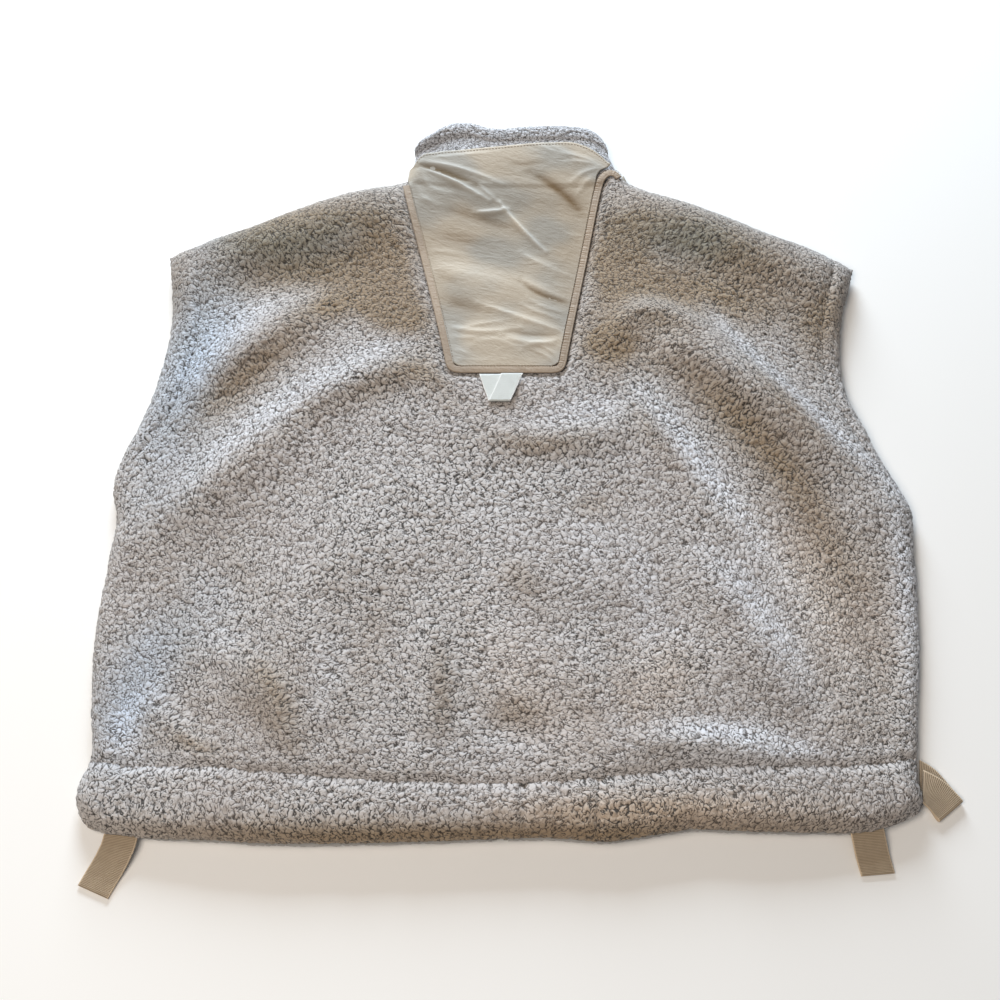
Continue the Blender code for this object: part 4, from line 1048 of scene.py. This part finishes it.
def armhole_band(name, on_left, face, inner_face, outward):
    """A turned band along an armhole, from the underarm to the shoulder tip."""
    edge, seam = (left_edge, left_of_body) if on_left else (right_edge, right_of_body)
    underarm, tip, end = (UNDERARM_LEFT, TIP_LEFT[1], 0) if on_left else (UNDERARM_RIGHT, TIP_RIGHT[1], 1)
    high = end_row([0, 1], BODY_SPAN, left_of_body, right_of_body, shoulder)[end]
    inward = GAP if on_left else -GAP

    def plan(across, up):
        a, seam_y = np.meshgrid(across, mixed(underarm + 2, high, np.asarray(up)))
        edge_y = mixed(underarm + 2, tip, np.meshgrid(across, up)[1])
        return mixed(edge(edge_y), seam(seam_y) - inward, a), mixed(edge_y, seam_y, a)

    many = np.linspace(0, 1, 500)
    up = steps_along(on(face, *plan([0.5], many))[:, 0], BAND_STEP_UP)
    across = steps_along(on(face, *plan(many, [0.7]))[0], BAND_STEP_ACROSS)
    x, y = plan(across, up)
    grid = on(face, x, y)
    turn = 1 if on_left else -1
    outer = piled(grid, turn * outward, cut=outward < 0)
    inner = on(face, x, y)
    deep = cloth_thickness(x, y)[..., None] * normals_of(grid) * turn
    inner -= deep * outward
    inner[..., 2] = inner_face(inner[..., 2])
    finish_rim(outer, inner, x, y)
    room = x[:, -1:] - x
    shift = np.minimum(np.abs(inner[..., 0] - x), 0.6 * np.abs(room))
    inner[..., 0] = x + shift * np.sign(room)
    # The band's painted shade and painted light
    lie = painted_light(grid, outward > 0)
    made = cloth(name + "_cloth", outer, inner, unrolled(grid), "sherpa", turn * outward, lie, node=name)


def armhole_bands():
    for side, on_left in (("left", True), ("right", False)):
        armhole_band("band_back_" + side, on_left, back_face, lambda z: np.maximum(z, MIDDLE + GAP / 2), 1)
        armhole_band("band_front_" + side, on_left, front_face, lambda z: np.minimum(z, MIDDLE - GAP / 2), -1)


def hem_casings():
    sides = (left_of_body, right_of_body)
    x, y = fine_plan(
        hem_back_face, CASING_STEP, BODY_SPAN, *sides, hem_foot, below_hem_seam, at=(0.5, 0.35)
    )
    grid = on(hem_back_face, x, y)
    outer, inner = piled(grid, 1), back_inner(x, y)
    finish_rim(outer, inner, x, y)
    places = unrolled(grid)
    places[..., 1] += 0.4 * np.maximum(mixed(hem_foot(x), hem_seam(x), 0.55) - y, 0)
    made = cloth("hem_back_cloth", outer, inner, places, "sherpa", node="hem_back")
    for side, span, left, right in halves():
        x, y = fine_plan(hem_front_face, FRONT_CASING_STEP, span, left, right, hem_foot, below_hem_seam)
        grid = on(hem_front_face, x, y)
        outer, inner = piled(grid, -1, cut=True), front_inner(x, y)
        finish_rim(outer, inner, x, y)
        node = "hem_front_" + side
        made = cloth(node + "_cloth", outer, inner, unrolled(grid), "sherpa", -1, node=node)


# ---------------------------------------------------------------- the collar and the yoke

# The lining's wall from the neck seam up and over its roll, and back down inside: share of the height,
# reach from the middle of the wall, and reach again where the roll is thickest.
Wall = namedtuple("Wall", "up plain roll")
LINING_WALL = table(
    Wall,
    (0, 3, 0), (0.35, 3, 0), (0.7, 3, 0), (0.79, 3, 2.4), (0.89, 3, 3.4), (0.97, 2.4, 1.6), (1, 0.8, 0),
    (1, -0.9, 0), (0.96, -2.4, 0), (0.88, -3, 0), (0.45, -3, 0), (0, -3, 0),
)


def collar_left(y):
    return mixed(*COLLAR_LEFT, (y - COLLAR_FOOT) / COLLAR_REACH)


def collar_right(y):
    return mixed(*COLLAR_RIGHT, (y - COLLAR_FOOT) / COLLAR_REACH)


def collar_rise(x, y):
    return rolled(np.minimum(x - collar_left(y), collar_right(y) - x) + CLEAR, 12)


def collar_face(x, y):
    """What the nylon lies on above the neckline: the collar lining's back, rolling down at its folds."""
    return RING_MIDDLE + (NECK_TOP - RING_MIDDLE) * collar_rise(x, y)


def yoke_ground(x, y):
    """What the yoke and its binding lie on, from the body to the collar."""
    body = back_loft(x, y) - 1.4 * side_and_top(x, y)
    return mixed(body, collar_face(x, y), eased(-8, -1, y - shoulder(x)))


def collar_front_face(x, y):
    return (RING_MIDDLE - GAP / 2) * (1 - collar_rise(x, y))


def lining_point(turn, up, reach):
    """A point of the collar lining: round the collar, up it, and out from the middle of its wall."""
    low, high = np.array(COLLAR_LEFT), np.array(COLLAR_RIGHT)
    left, right = mixed(*low, up), mixed(*high, up)
    half = (right - left) / 2 - COLLAR_SHERPA / 2 + reach
    rise = np.sign(np.sin(turn)) * np.abs(np.sin(turn)) ** 0.5
    x = (left + right) / 2 + half * np.cos(turn)
    z = RING_MIDDLE + (RING_HALF - COLLAR_SHERPA / 2 + reach) * rise
    foot = mixed(shoulder(x), front_neck(x), rise < 0) + NECK_GAP
    head = lining_top(x) - FRONT_TOP_DROP * neck_scoop(x) * (rise < 0)
    return np.stack([x, mixed(foot, head, up), z], axis=-1)


def collar_lining():
    """One strip of sherpa from zip to zip, its top edge rolled outwards over the collar's edge."""
    middle = (COLLAR_LEFT[1] + COLLAR_RIGHT[1]) / 2
    half = (COLLAR_RIGHT[1] - COLLAR_LEFT[1]) / 2
    ends = [float(np.degrees(np.arccos((side(330) - middle) / half))) for side in (right_of_zip, left_of_zip)]
    turns = np.linspace(-ends[0], 360 - ends[1], LINING_COLUMNS)
    rank = np.arange(len(LINING_WALL))
    walls = np.array(LINING_WALL, float)
    at = np.concatenate([np.linspace(0, 2, 9), np.linspace(2, 9, 45)[1:], np.linspace(9, 11, 7)[1:]])
    up, plain, roll = (smooth_through(list(zip(rank, walls[:, k])))(at) for k in range(3))
    turn, up = np.meshgrid(np.radians(turns), np.clip(up, 0, 1))
    reach = plain[:, None] + roll[:, None] * lining_roll(turns)[None]
    grid = lining_point(turn, up, reach)
    grid[:, 0, 0] = right_of_zip(grid[:, 0, 1])
    grid[:, -1, 0] = left_of_zip(grid[:, -1, 1])
    sleeve = np.concatenate([grid[-1:], grid, grid[:1]])
    normal = normals_of(sleeve)[1:-1]
    round_it, over_it = run_of(grid[ROLL_ROW]), run_of(grid[:, LINING_COLUMNS // 2])
    places = np.stack([*np.meshgrid(1.15 * round_it, 1.3 * over_it), np.zeros(grid.shape[:2])], axis=-1)
    curl, clump = read_recipe(places, curls)
    height = 0.9 * CURL_HEIGHT * (curl - CURL_LEVEL) + 0.7 * CLUMP_HEIGHT * (clump - CLUMP_LEVEL)
    seat = eased(0.74, 0.84, up) + (np.arange(len(up))[:, None] > INSIDE_ROW)
    height = height * np.clip(seat, 0.05, 1)
    height[:, [0, -1]] = 0
    side = np.sign((normal * (grid - grid.mean(axis=(0, 1)))).sum(axis=-1).mean())
    points = grid + height[..., None] * normal * side
    rows, columns = points.shape[:2]
    numbers = np.arange(rows * columns).reshape(rows, columns)
    quads = quads_of(np.concatenate([numbers, numbers[:1]]))
    if side < 0:
        quads = quads[:, ::-1]
    faces = quads.tolist()
    caps = [numbers[:, 0].tolist(), numbers[::-1, -1].tolist()]
    faces += caps if side > 0 else [cap[::-1] for cap in caps]
    whole = np.ones(rows * columns)
    attributes = {
        "cloth_mm": places.reshape(-1, 3),
        "pile": whole,
        # The lining's painted light and painted tint of the light are the same all over
        "painted_light": LINING_PAINTED_LIGHT * whole,
        "warm": LINING_PAINTED_TINT * whole,
    }
    made = piece("collar_lining_cloth", points, faces, "sherpa", attributes, "collar_lining")


def nylon_left(y):
    beside = yoke_left(np.minimum(y, YOKE_TOP)) + BINDING_WIDTH / 2 - TUCK
    return mixed(beside, collar_left(y) - CLEAR, eased(314, 334, y))


def nylon_edge(y):
    """The nylon's right edge: tucked into the binding, and free on the collar."""
    return nylon_right(y) + (TUCK + GAP) * eased(330, 316, y)


def nylon_foot(x):
    """The nylon's foot, cut off at its corners inside the binding's round ones."""
    near = np.clip(np.minimum(x - nylon_left(YOKE_FOOT), nylon_edge(YOKE_FOOT) - x) / CORNER, 0, 1)
    return YOKE_FOOT + BINDING_WIDTH / 2 - TUCK + CORNER / 2 * (1 - near) ** 2


def creased(x, y):
    """The nylon's top face: its ground, its creases, and a dip to each edge where it is sewn down."""
    edge = np.minimum(np.minimum(x - nylon_left(y), nylon_edge(y) - x), y - YOKE_FOOT - BINDING_WIDTH / 2)
    free = mixed(eased(-1, 9, edge), 1, eased(325, 345, y)) * mixed(0.35, 1, eased(0, 7, nylon_top(x) - y))
    puff = 0.4 + 1.2 * eased(0, 26, edge) * eased(330, 300, y)
    relief = np.maximum(0.9 * crest_heights(CREASES, x, y, 1.6), -1.0 - puff / 2)
    return yoke_ground(x, y) + GAP + NYLON + puff + relief * free


def painted_glint(x, y):
    """Painted highlight on the nylon's crests and top roll, painted shade in its troughs; lighter towards its
    foot.
    """
    top, foot = eased(26, 3, nylon_top(x) - y), eased(190, 140, y)
    return np.clip(0.45 + 0.27 * crest_heights(CREASES, x, y, 1.6) + 0.2 * top + 0.24 * foot, 0, 1)


def yoke_collar():
    """The yoke and the outside of the collar's back: one nylon panel, lying on the body and the lining."""
    across, up = (np.linspace(0, 1, count) for count in YOKE_POINTS)
    x, y = panel_plan(across, up, (-76, 108), nylon_left, nylon_edge, nylon_foot, nylon_top)
    outer = on(creased, x, y)
    inner = outer - NYLON * normals_of(outer)
    # lie is the nylon's painted highlight and painted shade
    made = cloth("yoke_nylon", outer, inner, unrolled(outer), "nylon", lie=painted_glint(x, y), node="yoke_collar")


def collar_fronts():
    sides = (
        ("left", (-80, left_of_zip(322)), lambda y: collar_left(y) - CLEAR, left_of_zip, 0),
        ("right", (right_of_zip(322), 108), right_of_zip, lambda y: collar_right(y) + CLEAR, -1),
    )
    across, up = (np.linspace(0, 1, count) for count in COLLAR_FRONT_POINTS)
    for side, span, low, high, edge in sides:
        x, y = panel_plan(
            across, up, span, low, high,
            lambda x: front_neck(x) + NECK_GAP, lambda x: nylon_top(x) - FRONT_TOP_DROP * neck_scoop(x),
        )
        outer = on(collar_front_face, x, y)
        inner = outer + NYLON * normals_of(outer)
        inner[:, edge, 2] = outer[:, edge, 2]
        name = "collar_front_" + side
        made = cloth(name + "_nylon", outer, inner, unrolled(outer), "nylon", -1, node=name)


def fillet(before, corner, after):
    """Points round a corner, from one point to another, bending towards the corner."""
    before, corner, after = (np.array(p, float) for p in (before, corner, after))
    return [
        tuple((1 - q) ** 2 * before + 2 * q * (1 - q) * corner + q * q * after)
        for q in np.linspace(0, 1, 4)
    ]


def binding_route():
    """The binding's middle: down the left side, along the foot, up the right and over the neck seam."""
    down = [(float(yoke_left(y)), y) for y in np.linspace(YOKE_TOP, YOKE_FOOT + CORNER + 8, 10)]
    corner_l, corner_r = (float(yoke_left(YOKE_FOOT)), YOKE_FOOT), (float(yoke_right(YOKE_FOOT)), YOKE_FOOT)
    high = YOKE_FOOT + CORNER
    route = down + fillet((float(yoke_left(high)), high), corner_l, (corner_l[0] + CORNER, YOKE_FOOT))
    route += [(x, YOKE_FOOT) for x in np.linspace(corner_l[0] + CORNER + 8, corner_r[0] - CORNER - 8, 4)]
    route += fillet((corner_r[0] - CORNER, YOKE_FOOT), corner_r, (float(yoke_right(high)), high))
    route += [(float(yoke_right(y)), y) for y in np.linspace(high + 8, YOKE_ARCH[0].value - 14, 7)]
    ranks = range(len(YOKE_ARCH))
    arch_x = smooth_through([(i, YOKE_ARCH[i].along) for i in ranks])
    arch_y = smooth_through([(i, YOKE_ARCH[i].value) for i in ranks])
    steps = np.linspace(0, len(YOKE_ARCH) - 1, 9)
    return np.array(route + list(zip(arch_x(steps), arch_y(steps))))


def smooth_route(spacing):
    """The binding's middle in even steps, with each step's heading across it."""
    rough = binding_route()
    length = run_of(rough)
    at = np.linspace(0, length[-1], int(length[-1] / spacing) + 1)
    route = np.stack([smooth_through(list(zip(length, rough[:, k])))(at) for k in range(2)], axis=1)
    return route, across_of(route), at


def puckers(at, share):
    """The thread's pull on the binding: short ridges across it, uneven in size and spacing."""
    drift = at + 0.7 * np.sin(at * 0.37) + 0.5 * np.sin(at * 0.83 + 1.3)
    strong = mixed(0.35, 1.0, eased(250, 330, at)) * (0.6 + 0.4 * np.sin(at * 0.11) ** 2)
    return strong * (0.5 + 0.5 * np.sin(drift * 2 * np.pi / 2.5)) * eased(-1.0, 0.5, share)


def yoke_binding():
    """The piped binding: a flat fold along its route, with a faint roll on its outer edge."""
    route, side, at = smooth_route(0.55)
    shares = np.array([-1, -0.93, -0.8, -0.66, -0.56, -0.4, -0.1, 0.2, 0.5, 0.72, 0.88, 1])
    crown = BINDING * np.array([0.22, 0.5, 0.66, 0.7, 0.62, 0.74, 0.78, 0.78, 0.74, 0.68, 0.5, 0.2])
    plan = route[:, None] + side[:, None] * (shares * BINDING_WIDTH / 2)[None, :, None]
    x, y = plan[..., 0], plan[..., 1]
    under = on(yoke_ground, x, y, GAP)
    pull = puckers(at[:, None], shares[None])
    upper = under + [0, 0, 1] * (crown[None] - 0.6 * pull)[..., None]
    count = (len(route) - 1) // COARSE * COARSE + 1
    made = binding_mesh(upper[:count], under[:count])


def binding_mesh(upper, under):
    """A closed strip between two grids, both with all their points."""
    rows, columns = upper.shape[:2]
    numbers = np.arange(rows * columns).reshape(rows, columns)
    quads = quads_of(numbers)[:, [0, 3, 2, 1]]
    faces = quads.tolist() + [face[::-1] for face in (quads + rows * columns).tolist()]
    rim = [int(numbers[at]) for at in rim_of(rows, columns)]
    for here, there in zip(rim, rim[1:] + rim[:1]):
        faces.append([here, there, there + rows * columns, here + rows * columns])
    points = np.concatenate([upper.reshape(-1, 3), under.reshape(-1, 3)])
    # The binding's painted light sits in the middle, between the painted crease shade and highlight
    attributes = {"cloth_mm": points, "painted_light": np.full(len(points), 0.5)}
    return piece("yoke_binding_nylon", points, faces, "binding", attributes, "yoke_binding", "nylon")


def stitches(name, line, side, length, pitch):
    """A row of stitches along a line of points, each a small rounded dash."""
    run = run_of(line)
    starts = np.arange(0, run[-1] - length, pitch)
    vertices, faces = [], []
    ring = [(math.cos(t), math.sin(t)) for t in np.linspace(0, 2 * math.pi, THREAD_SIDES + 1)[:-1]]
    for start in starts:
        base = len(vertices)
        for share, fat in THREAD_SECTIONS:
            s = start + share * length
            middle = np.array([np.interp(s, run, line[:, k]) for k in range(3)])
            across = np.array([*(np.interp(s, run, side[:, k]) for k in range(2)), 0])
            dip = 0.25 * (2 * share - 1) ** 2
            for c, n in ring:
                vertices.append(middle + across * c * fat * THREAD / 2 + [0, 0, n * fat * THREAD / 2 - dip])
        last = len(vertices) - THREAD_SIDES
        for at in range(base, last, THREAD_SIDES):
            for k in range(THREAD_SIDES):
                a, b = at + k, at + (k + 1) % THREAD_SIDES
                faces.append([a, b, b + THREAD_SIDES, a + THREAD_SIDES])
        faces += [list(range(base + THREAD_SIDES - 1, base - 1, -1)), list(range(last, last + THREAD_SIDES))]
    return piece(name, vertices, faces, "thread", slot="nylon")


def yoke_stitching():
    route, side, _ = smooth_route(1.2)
    route, side = route[3:-3], side[3:-3]
    plan = route + side * (BINDING_WIDTH / 2 + 0.15)
    lift = NYLON + GAP + 0.45
    line = np.column_stack([plan, yoke_ground(plan[:, 0], plan[:, 1]) + lift])
    stitches("yoke_stitches", line, side, 2.0, 2.7)
    x = mixed(nylon_left(350) + 6, 107, np.linspace(0, 1, 300))
    y = nylon_top(x) - 2.4
    line = np.column_stack([x, y, creased(x, y) + 0.12])
    stitches("collar_stitches", line, across_of(line[:, :2]), 2.2, 3.0)


# ---------------------------------------------------------------- straps, loops and the zip


def level_ground(x, y):
    return np.zeros(np.shape(x))


def strap(name, runs, width, thickness, ground, finish_name, node):
    """A flat strap through its runs. Its two edges follow the ground under them, lifted by z."""
    ranks = np.arange(len(runs))
    steps = np.linspace(0, len(runs) - 1, 8 * (len(runs) - 1) + 1)
    x, y, lift, turn = (
        smooth_through(list(zip(ranks, column)))(steps) for column in np.array(runs, float).T
    )
    side = np.stack([np.cos(np.radians(turn)), np.sin(np.radians(turn))], axis=1) * width / 2
    edges = []
    for way in (-1, 1):
        plan = np.stack([x, y], axis=1) + way * side
        edges.append(np.column_stack([plan, ground(plan[:, 0], plan[:, 1]) + lift]))
    left, right = edges
    ahead = np.gradient((left + right) / 2, axis=0)
    normal = np.cross(right - left, ahead)
    normal /= np.linalg.norm(normal, axis=1, keepdims=True)
    along = run_of((left + right) / 2)
    shares = np.concatenate([[0, 0.02], np.linspace(0.06, 0.94, 9), [0.98, 1]])
    full = thickness / 2 * np.minimum(1, 0.55 + 30 * np.minimum(shares, 1 - shares))
    middle = left[:, None] + (right - left)[:, None] * shares[None, :, None]
    lift = normal[:, None] * full[None, :, None]
    around = np.concatenate([middle + lift, (middle - lift)[:, ::-1]], axis=1)
    sides = np.concatenate([shares, shares[::-1]])
    count, ring = around.shape[:2]
    faces = []
    for i in range(count - 1):
        for j in range(ring):
            k = (j + 1) % ring
            faces.append([i * ring + j, (i + 1) * ring + j, (i + 1) * ring + k, i * ring + k])
    faces.append(list(range(ring)))
    faces.append([(count - 1) * ring + j for j in range(ring - 1, -1, -1)])
    places = np.stack([*np.meshgrid(along, sides * width, indexing="ij"), np.zeros((count, ring))], axis=-1)
    made = piece(name, around, faces, finish_name, {"strap_mm": places.reshape(-1, 3)}, node)


def straps():
    strap("hanger_ribbon", HANGER, RIBBON_WIDTH, RIBBON, back_loft, "ribbon", "hanger_loop")
    strap("tab_left_webbing", TAB_LEFT, WEBBING_WIDTH, WEBBING, level_ground, "webbing", "tab_left")
    strap("tab_right_webbing", TAB_RIGHT, WEBBING_WIDTH, WEBBING, level_ground, "webbing", "tab_right")
    strap("side_loop_webbing", SIDE_LOOP, WEBBING_WIDTH, WEBBING, level_ground, "webbing", "side_loop")


def zip_teeth():
    """Two rows of moulded teeth that reach across the middle in turn."""
    foot, head = float(hem_foot(0)) + 3, ZIP_HEAD - 1
    vertices, faces = [], []
    count = int((head - foot) / TOOTH_PITCH)
    for i in range(2 * count):
        way = 1 if i % 2 else -1
        y = foot + (i / 2 + 0.25) * TOOTH_PITCH
        x = float(zip_middle(y))
        inner, outer = x - TOOTH_REACH * way, x + CHAIN_WIDTH / 2 * way
        low, high = y - TOOTH_HALF, y + TOOTH_HALF
        base = len(vertices)
        for level, grow in TOOTH_LAYERS:
            for at_x, at_y in ((inner, low), (outer, low), (outer, high), (inner, high)):
                vertices.append((x + (at_x - x) * grow, y + (at_y - y) * grow, level))
        turn = 1 if way > 0 else -1
        for level in range(3):
            for k in range(4):
                a, b = base + level * 4 + k, base + level * 4 + (k + 1) % 4
                faces.append([a, b, b + 4, a + 4][::turn])
        for cap in (range(base + 3, base - 1, -1), range(base + 12, base + 16)):
            faces.append(list(cap)[::turn])
    piece("zip_teeth_rows", vertices, faces, "zip_teeth", node="zip_chain")


def zip_and_pull():
    zip_teeth()
    strap("zip_pull_cord", ZIP_PULL, 5.0, RIBBON, level_ground, "ribbon", "zip_pull")
    plain = {"zip_tape_left": "zip_tape", "zip_tape_right": "zip_tape", "zip_slider": "zip_metal"}
    for node, name in plain.items():
        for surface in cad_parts[node].material_slots:
            surface.material = FINISHES[name]


# ---------------------------------------------------------------- floor, light and camera


def stage():
    """A pale floor, cool light from beyond the collar and warm fill from the hem's side."""
    mesh = bpy.data.meshes.new("floor")
    corners = ((-1, -1), (1, -1), (1, 1), (-1, 1))
    points = [(x * FLOOR_HALF, y * FLOOR_HALF, -FLOOR_DROP) for x, y in corners]
    mesh.from_pydata(points, [], [(0, 1, 2, 3)])
    floor = bpy.data.objects.new("floor", mesh)
    bpy.context.scene.collection.objects.link(floor)
    made, _, shader = finish("floor", roughness=0.9)
    shader.inputs["Base Color"].default_value = (0.93, 0.935, 0.94, 1)
    mesh.materials.append(made)
    world = bpy.data.worlds.new("studio")
    bpy.context.scene.world = world
    world.use_nodes = True
    sky = world.node_tree.nodes["Background"]
    sky.inputs["Color"].default_value = (0.96, 0.98, 1.0, 1)
    sky.inputs["Strength"].default_value = 0.16
    for name, place, size, power, tint in (
        ("window", (-0.35, 2.15, 0.78), 1.0, 88.0, (0.82, 0.92, 1.0)),
        ("fill", (-0.75, -0.65, 1.9), 1.2, 27.0, (1.0, 0.88, 0.75)),
    ):
        light = bpy.data.lights.new(name, "AREA")
        light.size, light.energy, light.color = size, power, tint
        lamp = bpy.data.objects.new(name, light)
        lamp.location = place
        away = np.array(place) / np.linalg.norm(place)
        lamp.rotation_euler = (math.acos(away[2]), 0, math.atan2(away[0], -away[1]))
        bpy.context.scene.collection.objects.link(lamp)
    bpy.context.scene.view_settings.view_transform = "Standard"


def camera():
    lens = bpy.data.cameras.new("camera")
    lens.lens, lens.sensor_width = LENS, SENSOR
    made = bpy.data.objects.new("camera", lens)
    target = np.array([-CENTRE[0], -CENTRE[1], 0.0]) * MM
    made.location = target + DISTANCE * np.array([0, -math.cos(ELEVATION), math.sin(ELEVATION)])
    made.rotation_euler = (math.pi / 2 - ELEVATION, 0, 0)
    bpy.context.scene.collection.objects.link(made)
    bpy.context.scene.camera = made


camera()
stage()
back_body()
front_bodies()
armhole_bands()
hem_casings()
collar_lining()
yoke_collar()
collar_fronts()
yoke_binding()
yoke_stitching()
straps()
zip_and_pull()
